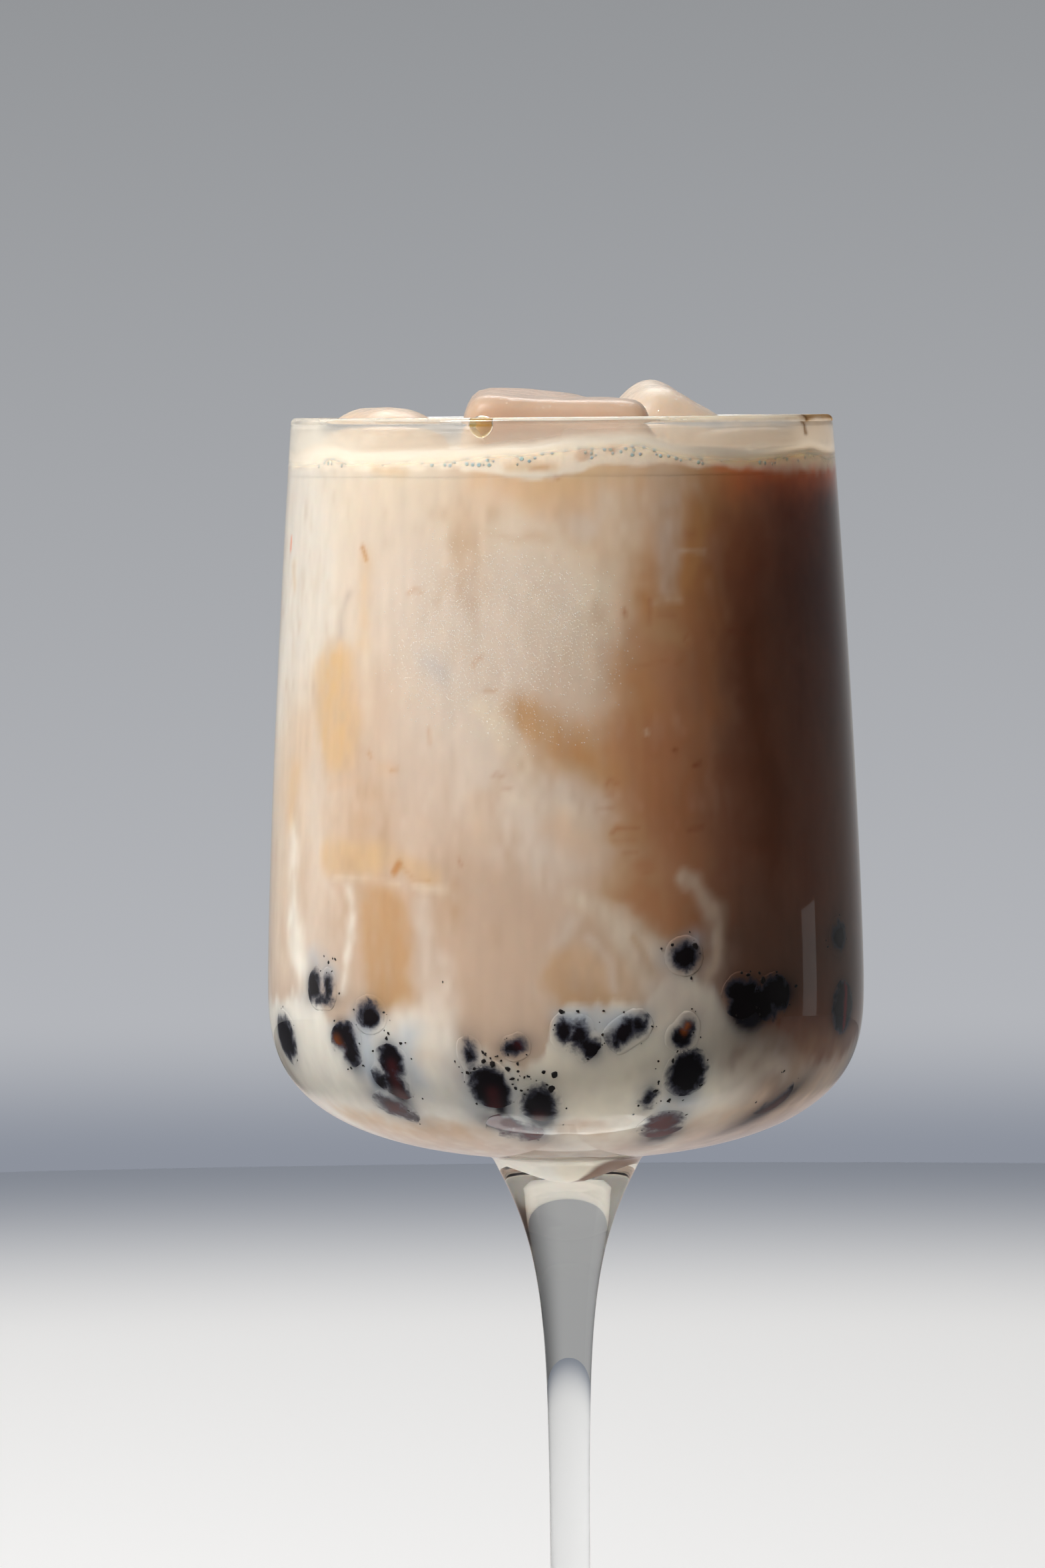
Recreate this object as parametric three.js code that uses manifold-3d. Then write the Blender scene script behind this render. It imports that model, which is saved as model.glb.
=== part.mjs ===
// Iced coffee milk tea with tapioca pearls, in the stemmed goblet it is served in.
// Millimetres, +Z up. The origin is under the middle of the foot, on the table.
// The front of the drink, with the milk streak, looks towards -Y.

import * as THREE from 'three';
import { mergeVertices } from 'three/addons/utils/BufferGeometryUtils.js';
import Module from 'manifold-3d';

// Goblet
const RIM_HEIGHT = 205;
const RIM_RADIUS = 38;
const BELLY_HEIGHT = 126;
const BELLY_RADIUS = 42;
const BOWL_DEPTH_BELOW_BELLY = 25;
const WALL_TAPER = 1.35;
const LOWER_CURVE = { across: 2.4, down: 3 };
const WALL_AT_RIM = 1.25;
const WALL_AT_BELLY = 1.9;
const WALL_AT_BOTTOM = 2.8;
const LIP_RADIUS = 0.75;
const DIP_DEPTH = 5.8;
const DIP_RADIUS = 6;
const STEM_RADIUS = 2.8;
const STEM_FLARE = { width: 7, length: 13.6, sharpness: 1.15 };
const STEM_FILLET = 0.9;
const FOOT_RADIUS = 39;
const FOOT_EDGE = 1.6;
const FOOT_RISE = 1.6;
const FOOT_FILLET = { radius: 8, height: 14 };
const FOOT_HOLLOW = { radius: 31, depth: 0.8 };
const SIDES = 36;

// Drink, foam and what lies in them
const GAP = 0.3;
const DRINK_LEVEL = 196.9;
const FOAM_LEVEL = 200.1;
const FOAM_RELIEF = 0.2;
const FOAM_MOUND = { angle: 8, height: 1.5, width: 9 };

// Ice blocks: middle, half sizes, lean to the right, turn about the upright and squareness of corner
const ICE = {
  ice_left: { at: [-25.2, -3, 194.3], half: [9.9, 11.5, 12], lean: 20, yaw: 10, corner: 2.5 },
  ice_centre: { at: [0.8, -10.2, 195.4], half: [15.2, 11, 12.3], lean: 9, yaw: -3, corner: 5 },
  ice_back: { at: [13.6, 14.2, 197.8], half: [9.8, 8.6, 10.6], lean: 38, yaw: 8, corner: 3.4 },
  ice_right: { at: [26.4, -2.2, 193.6], half: [8.4, 8.2, 11], lean: -3, yaw: -10, corner: 3.2 },
};
const ICE_MELT = 0.035;

// Pearls: angle from the front to the right, height above the table, share of the common radius.
// Those seen from the front are placed one by one, and the rest go round the back by a rule.
const PEARL_RADIUS = 3.3;
const PEARL_PRESSED = 0.3;
const FRONT_PEARLS = [
  { angle: -71, height: 119, size: 1.05 }, { angle: -54.5, height: 127, size: 0.95 },
  { angle: -40, height: 124, size: 0.88 }, { angle: -48, height: 119, size: 0.9 },
  { angle: -34.5, height: 116, size: 1.1 }, { angle: -15.5, height: 114.5, size: 1.08 },
  { angle: -4.5, height: 112, size: 1 }, { angle: 0, height: 121.5, size: 1.05 },
  { angle: 11, height: 121.5, size: 0.98 }, { angle: 22, height: 132, size: 0.9 },
  { angle: 34.5, height: 127, size: 0.92 }, { angle: 44, height: 126, size: 0.95 },
  { angle: 24.5, height: 115, size: 1.02 }, { angle: 21, height: 121.9, size: 0.82 },
  { angle: 47, height: 112.5, size: 0.98 }, { angle: 64.5, height: 133, size: 0.85 },
  { angle: 67.5, height: 123, size: 1.05 },
];
const BACK_PEARLS = { count: 8, first: 88, last: 268, lowest: 112, spread: 17, unevenness: 0.1 };

const BOWL_BOTTOM = BELLY_HEIGHT - BOWL_DEPTH_BELOW_BELLY;
const degrees = THREE.MathUtils.degToRad;

const COLOURS = {
  glass: { color: '#dfe5e8', roughness: 0.02, metalness: 0 },
  drink: { color: '#c3a184', roughness: 0.35, metalness: 0 },
  foam: { color: '#e6d4b8', roughness: 0.6, metalness: 0 },
  ice: { color: '#dcc3ac', roughness: 0.15, metalness: 0 },
  pearl: { color: '#1d1110', roughness: 0.2, metalness: 0 },
};

const wasm = await Module();
wasm.setup();

// Closed meshes

function welded(geometry) {
  geometry.deleteAttribute('normal');
  geometry.deleteAttribute('uv');
  const merged = mergeVertices(geometry, 1e-4);
  const corners = merged.index.array;
  const kept = [];
  for (let i = 0; i < corners.length; i += 3) {
    const [a, b, c] = corners.slice(i, i + 3);
    if (a !== b && b !== c && c !== a) kept.push(a, b, c);
  }
  merged.setIndex(kept);
  return merged;
}

function solidOf(geometry) {
  const mesh = welded(geometry);
  return new wasm.Manifold(new wasm.Mesh({
    numProp: 3,
    vertProperties: new Float32Array(mesh.attributes.position.array),
    triVerts: new Uint32Array(mesh.index.array),
  }));
}

function geometryOf(solid) {
  const mesh = solid.getMesh();
  const geometry = new THREE.BufferGeometry();
  geometry.setAttribute('position', new THREE.BufferAttribute(mesh.vertProperties, mesh.numProp));
  geometry.setIndex(Array.from(mesh.triVerts));
  geometry.computeVertexNormals();
  return geometry;
}

function turned(profile) {
  const points = profile.map(([radius, height]) => new THREE.Vector2(radius, height));
  return new THREE.LatheGeometry(points, SIDES).rotateX(Math.PI / 2);
}

// Evenly spaced values from first to last, both included
function steps(first, last, count) {
  return Array.from({ length: count }, (_, i) => first + ((last - first) * i) / (count - 1));
}

// Bowl: a slow taper above the belly, a rounded-off bottom below it

function outerRadius(height) {
  const share = (height - BELLY_HEIGHT) / (RIM_HEIGHT - BELLY_HEIGHT);
  return BELLY_RADIUS - (BELLY_RADIUS - RIM_RADIUS) * share ** WALL_TAPER;
}

function innerRadius(height) {
  const share = (height - BELLY_HEIGHT) / (RIM_HEIGHT - BELLY_HEIGHT);
  return outerRadius(height) - WALL_AT_BELLY + (WALL_AT_BELLY - WALL_AT_RIM) * share;
}

// A point of the rounded bottom; turn is 0 at the belly and 90 degrees on the axis
function lowerPoint(turn, radius, depth) {
  const across = radius * Math.cos(turn) ** (2 / LOWER_CURVE.across);
  const down = depth * Math.sin(turn) ** (2 / LOWER_CURVE.down);
  return [across, BELLY_HEIGHT - down];
}

// The bowl's inner bottom dips into the top of the stem, where the stem was pulled
function dipped([radius, height]) {
  return [radius, height - DIP_DEPTH * Math.exp(-((radius / DIP_RADIUS) ** 2))];
}

// Inner outline from the axis up to a height above the belly, drawn in by a margin
function innerOutline(top, margin) {
  const radius = BELLY_RADIUS - WALL_AT_BELLY - margin;
  const depth = BOWL_DEPTH_BELOW_BELLY - WALL_AT_BOTTOM - margin;
  const floor = BELLY_HEIGHT - depth;
  const dip = [0, 3, 6, 9.5].map((r) => dipped([r, floor]));
  const lower = steps(degrees(71), degrees(3), 7).map((turn) => dipped(lowerPoint(turn, radius, depth)));
  const wall = steps(BELLY_HEIGHT + 6, top, 3).map((height) => [innerRadius(height) - margin, height]);
  return [...dip, ...lower, ...wall];
}

// Goblet: one turned body of clear glass, from the foot's underside to the inner bottom

function gobletProfile() {
  const underside = [
    [0, FOOT_HOLLOW.depth],
    [FOOT_HOLLOW.radius, 0],
    [FOOT_RADIUS - 1, 0],
    [FOOT_RADIUS, FOOT_EDGE * 0.45],
    [FOOT_RADIUS - 0.3, FOOT_EDGE],
  ];
  const foot = steps(FOOT_RADIUS - 14, FOOT_FILLET.radius, 2).map((radius) => {
    const inward = (FOOT_RADIUS - radius) / (FOOT_RADIUS - FOOT_FILLET.radius);
    return [radius, FOOT_EDGE + FOOT_RISE * inward ** 1.3];
  });
  const fillet = steps(degrees(22), degrees(90), 4).map((turn) => [
    FOOT_FILLET.radius - (FOOT_FILLET.radius - STEM_RADIUS) * Math.sin(turn),
    FOOT_EDGE + FOOT_RISE + FOOT_FILLET.height * (1 - Math.cos(turn)),
  ]);
  const stem = [48, 34, 26, 19, 13, 8, 4, 1].map((below) => {
    const fade = Math.exp(-((below / STEM_FLARE.length) ** STEM_FLARE.sharpness));
    return [STEM_RADIUS + STEM_FLARE.width * fade, BOWL_BOTTOM - below];
  });
  const junction = [STEM_RADIUS + STEM_FLARE.width + STEM_FILLET / 2, BOWL_BOTTOM - STEM_FILLET / 4];
  const lower = steps(degrees(72), degrees(4), 9).map((turn) =>
    lowerPoint(turn, BELLY_RADIUS, BOWL_DEPTH_BELOW_BELLY));
  const wall = steps(BELLY_HEIGHT + 7, RIM_HEIGHT - 2, 4).map((height) => [outerRadius(height), height]);
  const lip = steps(degrees(0), degrees(180), 5).map((turn) => [
    RIM_RADIUS - LIP_RADIUS + LIP_RADIUS * Math.cos(turn),
    RIM_HEIGHT - LIP_RADIUS + LIP_RADIUS * Math.sin(turn),
  ]);
  const inside = innerOutline(RIM_HEIGHT - 2, 0).reverse();
  return [...underside, ...foot, ...fillet, ...stem, junction, ...lower, ...wall, ...lip, ...inside];
}

// Ice: melted blocks with rounded corners and slow hollows

function iceBlock({ at, half, lean, yaw, corner }, grown = 0) {
  const block = new THREE.IcosahedronGeometry(1, 3);
  const position = block.attributes.position;
  const point = new THREE.Vector3();
  for (let i = 0; i < position.count; i += 1) {
    point.fromBufferAttribute(position, i);
    const sum = Math.abs(point.x) ** corner + Math.abs(point.y) ** corner + Math.abs(point.z) ** corner;
    const melt = 1 + ICE_MELT * Math.sin(3 * point.x + half[0]) * Math.cos(4 * point.y - 2 * point.z);
    point.multiplyScalar(melt / sum ** (1 / corner));
    position.setXYZ(i, ...half.map((size, axis) => point.getComponent(axis) * (size + grown)));
  }
  return block.rotateY(degrees(lean)).rotateZ(degrees(yaw)).translate(...at);
}

// Pearls: chewy balls pressed flat where they lie against the wall

// Heights follow the golden ratio's remainders, so neighbours never line up
function backPearl(index) {
  const { count, first, last, lowest, spread, unevenness } = BACK_PEARLS;
  const golden = (Math.sqrt(5) - 1) / 2;
  return {
    angle: first + ((last - first) * index) / (count - 1),
    height: lowest + spread * ((index * golden) % 1) ** 1.5,
    size: 1 + unevenness * Math.sin(index / golden),
  };
}

// Inner wall's radius at a height below the belly
function lowerRadius(height) {
  const depth = BOWL_DEPTH_BELOW_BELLY - WALL_AT_BOTTOM;
  const share = (BELLY_HEIGHT - height) / depth;
  return (BELLY_RADIUS - WALL_AT_BELLY) * (1 - share ** LOWER_CURVE.down) ** (1 / LOWER_CURVE.across);
}

function wallRadius(height) {
  return height > BELLY_HEIGHT ? innerRadius(height) : lowerRadius(height);
}

function pearlBall({ angle, height, size }, grown = 0) {
  const radius = PEARL_RADIUS * size;
  const rise = 0.5;
  const slope = (wallRadius(height + rise) - wallRadius(height - rise)) / (2 * rise);
  const inward = new THREE.Vector2(-1, slope).normalize();
  const depth = radius * (1 - PEARL_PRESSED) + GAP;
  const out = wallRadius(height) + inward.x * depth;
  const turn = degrees(angle);
  const ball = new THREE.IcosahedronGeometry(radius + grown, 1).rotateZ(turn);
  return ball.translate(out * Math.sin(turn), -out * Math.cos(turn), height + inward.y * depth);
}

// Foam: an uneven skin of bubbles on the drink, piled up against the front ice

function foamTop(x, y) {
  const wave = Math.sin(x * 0.31 + 0.6) * Math.cos(y * 0.27) + 0.5 * Math.sin(0.52 * y - 0.4 * x);
  const turn = degrees(FOAM_MOUND.angle);
  const wall = innerRadius(FOAM_LEVEL);
  const away = Math.hypot(x - wall * Math.sin(turn), y + wall * Math.cos(turn));
  const mound = FOAM_MOUND.height * Math.exp(-((away / FOAM_MOUND.width) ** 2));
  return FOAM_LEVEL + FOAM_RELIEF * wave + mound;
}

function foamLayer() {
  const edge = innerRadius(FOAM_LEVEL) - GAP;
  const floor = innerRadius(DRINK_LEVEL + GAP) - GAP;
  const top = [edge, 29, 19, 9, 0].map((radius) => [radius, FOAM_LEVEL]);
  const layer = turned([[0, DRINK_LEVEL + GAP], [floor, DRINK_LEVEL + GAP], ...top]);
  const position = layer.attributes.position;
  for (let i = 0; i < position.count; i += 1) {
    if (position.getZ(i) > FOAM_LEVEL - 0.1) {
      position.setZ(i, foamTop(position.getX(i), position.getY(i)));
    }
  }
  return layer;
}

// Put together

const glassOfTea = new THREE.Group();

function addPiece(name, kind, geometry) {
  const piece = new THREE.Mesh(geometry, new THREE.MeshStandardMaterial(COLOURS[kind]));
  piece.name = name;
  glassOfTea.add(piece);
}

addPiece('goblet', 'glass', welded(turned(gobletProfile())));

const filled = solidOf(turned([...innerOutline(DRINK_LEVEL, GAP), [0, DRINK_LEVEL]]));
const backPearls = Array.from({ length: BACK_PEARLS.count }, (_, index) => backPearl(index));
const pearls = [...FRONT_PEARLS, ...backPearls];

let drink = filled;
let foam = solidOf(foamLayer());
for (const [name, block] of Object.entries(ICE)) {
  const room = solidOf(iceBlock(block, GAP));
  drink = drink.subtract(room);
  foam = foam.subtract(room);
  addPiece(name, 'ice', welded(iceBlock(block)));
}
pearls.forEach((pearl, index) => {
  const number = String(index + 1).padStart(2, '0');
  drink = drink.subtract(solidOf(pearlBall(pearl, GAP)));
  addPiece(`pearl_${number}`, 'pearl', geometryOf(solidOf(pearlBall(pearl)).intersect(filled)));
});
addPiece('drink', 'drink', geometryOf(drink));
addPiece('foam', 'foam', geometryOf(foam));

export default glassOfTea;
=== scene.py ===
# Iced coffee milk tea with tapioca pearls, in the stemmed goblet it is served in.
import itertools
import math
import random

import bmesh
import bpy
import numpy as np
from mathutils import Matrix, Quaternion, Vector


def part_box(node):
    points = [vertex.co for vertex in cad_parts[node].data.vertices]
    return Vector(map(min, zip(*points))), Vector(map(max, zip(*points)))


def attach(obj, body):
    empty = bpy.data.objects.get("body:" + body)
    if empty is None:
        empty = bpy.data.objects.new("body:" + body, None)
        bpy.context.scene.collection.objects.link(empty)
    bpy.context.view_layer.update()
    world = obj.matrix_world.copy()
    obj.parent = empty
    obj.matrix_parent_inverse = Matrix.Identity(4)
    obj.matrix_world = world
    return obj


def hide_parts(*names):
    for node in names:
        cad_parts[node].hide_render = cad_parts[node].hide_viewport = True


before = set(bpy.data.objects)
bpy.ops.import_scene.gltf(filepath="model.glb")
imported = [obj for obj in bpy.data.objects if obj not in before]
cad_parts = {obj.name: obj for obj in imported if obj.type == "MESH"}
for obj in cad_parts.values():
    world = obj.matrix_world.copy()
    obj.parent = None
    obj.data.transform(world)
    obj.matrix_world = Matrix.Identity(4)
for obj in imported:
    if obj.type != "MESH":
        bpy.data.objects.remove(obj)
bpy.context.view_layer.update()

# The goblet: clear glass blown in a mould, with a fire-polished lip, a stem pulled down
# from the bowl and a round foot pressed on. It is turned in one outline, from the foot's
# underside up to the lip and down inside to the dip over the stem. Sizes here are in mm.
MM = 0.001
RIM_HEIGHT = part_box("goblet")[1].z / MM
RIM_RADIUS = 38.0
BELLY_HEIGHT = 126.0
BELLY_RADIUS = 42.0
BOWL_DEPTH_BELOW_BELLY = 25.0
WALL_TAPER = 1.35
CURVE_ACROSS, CURVE_DOWN = 2.4, 3.0
WALL_AT_RIM, WALL_AT_BELLY, WALL_AT_BOTTOM = 1.25, 1.9, 2.8
LIP_RADIUS = 0.75
DIP_DEPTH, DIP_RADIUS = 5.0, 6.2
STEM_RADIUS = 2.8
FLARE_WIDTH, FLARE_LENGTH, FLARE_SHARPNESS = 7.9, 12.0, 1.15
FOOT_RADIUS, FOOT_EDGE, FOOT_RISE = 39.0, 1.6, 1.6
FOOT_FILLET_RADIUS, FOOT_FILLET_HEIGHT = 8.0, 14.0
FOOT_HOLLOW_RADIUS, FOOT_HOLLOW_DEPTH = 31.0, 0.8
GOBLET_SIDES = 160


def outside_radius(height):
    share = np.clip((height - BELLY_HEIGHT) / (RIM_HEIGHT - BELLY_HEIGHT), 0, 1)
    return BELLY_RADIUS - (BELLY_RADIUS - RIM_RADIUS) * share**WALL_TAPER


def inside_radius(height):
    share = np.clip((height - BELLY_HEIGHT) / (RIM_HEIGHT - BELLY_HEIGHT), 0, 1)
    return outside_radius(height) - WALL_AT_BELLY + (WALL_AT_BELLY - WALL_AT_RIM) * share


def lower_curve(turns, radius, depth):
    """The rounded bottom, from the belly at turn 0 to the axis at a quarter turn."""
    across = radius * np.cos(turns) ** (2 / CURVE_ACROSS)
    down = depth * np.sin(turns) ** (2 / CURVE_DOWN)
    return np.column_stack([across, BELLY_HEIGHT - down])


def inner_outline(top, margin):
    """From the axis up the inside of the bowl, moved into the glass by a margin."""
    radius = BELLY_RADIUS - WALL_AT_BELLY + margin
    depth = BOWL_DEPTH_BELOW_BELLY - WALL_AT_BOTTOM + margin
    bottom = lower_curve(np.radians(np.linspace(89.999, 0, 160)), radius, depth)
    bottom[0, 0] = 0
    bottom[:, 1] -= DIP_DEPTH * np.exp(-((bottom[:, 0] / DIP_RADIUS) ** 2))
    heights = np.linspace(BELLY_HEIGHT, top, 80)[1:]
    wall = np.column_stack([inside_radius(heights) + margin, heights])
    return np.vstack([bottom, wall])


def arc(radius, height, size, start, end, count):
    """Part of a circle round a point of the outline, from one angle in degrees to another."""
    turns = np.radians(np.linspace(start, end, count))
    return np.column_stack([radius + size * np.cos(turns), height + size * np.sin(turns)])


def goblet_outline():
    hollow = np.linspace(0, FOOT_HOLLOW_RADIUS, 10)
    underside = np.column_stack(
        [hollow, FOOT_HOLLOW_DEPTH * (1 - (hollow / FOOT_HOLLOW_RADIUS) ** 2)]
    )
    half_edge = FOOT_EDGE / 2
    edge = arc(FOOT_RADIUS - half_edge, half_edge, half_edge, -90, 80, 9)
    plate = np.linspace(FOOT_RADIUS - 1.5, FOOT_FILLET_RADIUS, 16)
    inward = (FOOT_RADIUS - plate) / (FOOT_RADIUS - FOOT_FILLET_RADIUS)
    foot = np.column_stack([plate, FOOT_EDGE + FOOT_RISE * inward**1.3])
    turns = np.radians(np.linspace(5, 90, 16))
    fillet = np.column_stack(
        [
            FOOT_FILLET_RADIUS - (FOOT_FILLET_RADIUS - STEM_RADIUS) * np.sin(turns),
            FOOT_EDGE + FOOT_RISE + FOOT_FILLET_HEIGHT * (1 - np.cos(turns)),
        ]
    )
    bowl_bottom = BELLY_HEIGHT - BOWL_DEPTH_BELOW_BELLY
    below = np.linspace(bowl_bottom - 22, 0.9, 60)
    flare = STEM_RADIUS + FLARE_WIDTH * np.exp(-((below / FLARE_LENGTH) ** FLARE_SHARPNESS))
    stem = np.column_stack([flare, bowl_bottom - below])
    junction = np.array([[10.7, bowl_bottom - 0.35], [11.5, bowl_bottom + 0.05]])
    bottom = lower_curve(np.radians(np.linspace(76, 0, 70)), BELLY_RADIUS, BOWL_DEPTH_BELOW_BELLY)
    heights = np.linspace(BELLY_HEIGHT, RIM_HEIGHT - 1.4, 60)[1:]
    wall = np.column_stack([outside_radius(heights), heights])
    lip = arc(RIM_RADIUS - LIP_RADIUS, RIM_HEIGHT - LIP_RADIUS, LIP_RADIUS, -12, 195, 18)
    inside = inner_outline(RIM_HEIGHT - 1.6, 0)[::-1]
    return np.vstack([underside, edge, foot, fillet, stem, junction, bottom, wall, lip, inside])


def place(radius, angle, height):
    """Points in mm; the angle in radians counts from the front to the right."""
    return np.column_stack([radius * np.sin(angle), -radius * np.cos(angle), height])


def make_piece(name, points, faces, material):
    """A smooth mesh from points in mm."""
    mesh = bpy.data.meshes.new(name)
    mesh.from_pydata((np.asarray(points) * MM).tolist(), [], faces)
    mesh.materials.append(material)
    mesh.polygons.foreach_set("use_smooth", [True] * len(mesh.polygons))
    mesh.update()
    piece = bpy.data.objects.new(name, mesh)
    bpy.context.scene.collection.objects.link(piece)
    return piece


def full_turn(sides):
    return np.linspace(0, 2 * math.pi, sides, endpoint=False)


def sweep(rows, angles):
    """Points of every row of an outline (radius and height) at each of the angles."""
    count = len(angles)
    return place(np.repeat(rows[:, 0], count), np.tile(angles, len(rows)), np.repeat(rows[:, 1], count))


def net(rows, across, closed=True):
    """Faces between rows of points, closed round the axis or open."""
    turns = [(i, (i + 1) % across) for i in range(across if closed else across - 1)]
    return [
        (row * across + i, row * across + j, (row + 1) * across + j, (row + 1) * across + i)
        for row in range(rows - 1)
        for i, j in turns
    ]


def turn_outline(outline, angles):
    """Points and faces of an outline from axis to axis, turned through the angles."""
    rows, count = outline[1:-1], len(angles)
    points = np.vstack([[0, 0, outline[0, 1]], sweep(rows, angles), [0, 0, outline[-1, 1]]])
    last, top = len(points) - 1, 1 + (len(rows) - 1) * count
    around = [(i, (i + 1) % count) for i in range(count)]
    faces = [(0, 1 + j, 1 + i) for i, j in around]
    faces += [tuple(1 + corner for corner in face) for face in net(len(rows), count)]
    faces += [(top + i, top + j, last) for i, j in around]
    return points, faces


def add_node(tree, kind, inputs=None, **settings):
    """A node with its settings, and its inputs set or linked."""
    made = tree.nodes.new(kind)
    for name, value in settings.items():
        setattr(made, name, value)
    for name, value in (inputs or {}).items():
        if isinstance(value, bpy.types.NodeSocket):
            tree.links.new(value, made.inputs[name])
        else:
            made.inputs[name].default_value = value
    return made


def new_material(name, **sockets):
    """A material with its tree and its shader, whose even values are set on the shader."""
    material = bpy.data.materials.new(name)
    material.use_nodes = True
    tree = material.node_tree
    shader = tree.nodes["Principled BSDF"]
    for socket, value in sockets.items():
        shader.inputs[socket.replace("_", " ")].default_value = value
    return material, tree, shader


def feed(shader, **sources):
    """Links each source to the shader's input of that name."""
    for socket, source in sources.items():
        shader.id_data.links.new(source, shader.inputs[socket.replace("_", " ")])


def mix_shaders(tree, share, first, second):
    return add_node(tree, "ShaderNodeMixShader", {0: share, 1: first.outputs[0], 2: second.outputs[0]})


def let_lamps_through(tree, shader, colour):
    """Clear glass and water let lamp light pass straight on to what they hold."""
    clear = add_node(tree, "ShaderNodeBsdfTransparent", {"Color": colour})
    path = add_node(tree, "ShaderNodeLightPath")
    mixed = mix_shaders(tree, path.outputs["Is Shadow Ray"], shader, clear)
    feed(tree.nodes["Material Output"], Surface=mixed.outputs[0])


def object_place(tree, scale=(1, 1, 1)):
    """Object coordinates, stretched by a scale."""
    source = add_node(tree, "ShaderNodeTexCoord")
    inputs = {"Vector": source.outputs["Object"], "Scale": scale}
    return add_node(tree, "ShaderNodeMapping", inputs).outputs[0]


def noise(tree, scale, detail, stretch=(1, 1, 1), **more):
    """A cloudy pattern from 0 to 1, that stays with the piece."""
    inputs = {"Vector": object_place(tree, stretch), "Scale": scale, "Detail": detail, **more}
    return add_node(tree, "ShaderNodeTexNoise", inputs).outputs["Fac"]


def bump(tree, height, strength, distance):
    inputs = {"Strength": strength, "Distance": distance, "Height": height}
    return add_node(tree, "ShaderNodeBump", inputs).outputs[0]


clear_glass, tree, shader = new_material(
    "clear_glass", Base_Color=(0.985, 0.992, 0.99, 1), Roughness=0.0, IOR=1.5, Transmission_Weight=1.0
)
feed(shader, Normal=bump(tree, noise(tree, 70.0, 1.0, (1, 1, 0.35)), 0.05, 0.0004))
let_lamps_through(tree, shader, (0.94, 0.95, 0.95, 1))

goblet = make_piece("glass_goblet", *turn_outline(goblet_outline(), full_turn(GOBLET_SIDES)), clear_glass)
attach(goblet, "root")
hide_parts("goblet")

# The drink: cold coffee and milk, half stirred, so that milk runs down through the tan tea
# in streaks and settles at the bottom, and black coffee stays on the right, where the coffee and
# the milk are also painted darker as shade. Its skin reaches just into the wall, as wet glass
# shows it. Its colours are brushed on its points.
SKIN_IN_WALL = 0.15
DRINK_LEVEL = 197.2
DRINK_ROW = 0.55
FINE_SIDE, FINE_COLUMNS, COARSE_COLUMNS = 100.0, 350, 116
MILK = (241, 235, 223)
WARM_MILK = (236, 224, 203)
COOL_MILK = (223, 215, 204)
GREY_MILK = (176, 162, 150)
BLUE_MILK = (160, 166, 174)
HALO = (190, 196, 202)
CREAM = (224, 208, 187)
BLUSH = (217, 201, 185)
PEACH = (214, 185, 156)
TEA = (208, 183, 160)
GOLD = (216, 184, 142)
TAN = (194, 156, 115)
AMBER = (192, 140, 90)
CARAMEL = (176, 120, 82)
RUSSET = (244, 126, 68)
HONEY = (230, 188, 142)
FIELD = (202, 177, 155)
COFFEE = (142, 83, 57)
MOCHA = (126, 76, 51)
ESPRESSO = (104, 40, 20)
# milk stained by coffee and painted darker as shade, on the right
SHADED_MILK = (124, 93, 77)
FROTH = (238, 225, 207)
# froth stained tan, painted paler as light coming through it
FROTH_TAN_PAINTED_LIGHT = (250, 226, 188)


def tint(colour):
    """Linear light of a colour given as 0 to 255 per channel."""
    share = np.asarray(colour, float) / 255
    return np.where(share <= 0.04045, share / 12.92, ((share + 0.055) / 1.055) ** 2.4)


def rgba(colour):
    return (*tint(colour), 1)


def coat(base, cover, colour):
    """Colours of points with another one laid over them, by a cover from 0 to 1."""
    return base * (1 - cover[:, None]) + tint(colour) * cover[:, None]


def respaced(outline, spacing):
    """The outline with its points evenly spaced along it."""
    steps = np.hypot(*np.diff(outline, axis=0).T)
    along = np.concatenate([[0], np.cumsum(steps)])
    wanted = np.linspace(0, along[-1], max(2, int(along[-1] / spacing) + 1))
    return np.column_stack([np.interp(wanted, along, outline[:, i]) for i in (0, 1)])


def drink_outline():
    outline = inner_outline(DRINK_LEVEL, SKIN_IN_WALL)
    floor = respaced(outline[outline[:, 0] < 18], 1.6)
    floor = floor[: np.argmax(floor[:, 0] > 17)]
    side = respaced(outline[(outline[:, 0] > 17) | (outline[:, 1] > BELLY_HEIGHT)], DRINK_ROW)
    edge = side[-1] - [0, 0.05]
    top = np.column_stack([np.linspace(side[-1, 0] - 1.5, 0, 6), np.full(6, DRINK_LEVEL)])
    return np.vstack([floor, side[:-1], edge, side[-1], top])


def haze(points, size, seed):
    """Smooth noise from -1 to 1, whose features are about as wide as the size in mm."""
    values = np.random.default_rng(seed).uniform(-1, 1, (31, 31, 31))
    spot = np.asarray(points) / size + 100
    low = np.floor(spot).astype(int)
    part = spot - low
    part = part * part * (3 - 2 * part)
    total = np.zeros(len(spot))
    for corner in itertools.product((0, 1), repeat=3):
        cell = (low + corner) % 31
        weight = np.prod(np.where(corner, part, 1 - part), axis=1)
        total += values[cell[:, 0], cell[:, 1], cell[:, 2]] * weight
    return total


def eased(share):
    share = np.clip(share, 0, 1)
    return share * share * (3 - 2 * share)


def angle_of(points):
    """Angles in degrees, counted from the front to the right."""
    return np.degrees(np.arctan2(points[:, 0], -points[:, 1]))


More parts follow.
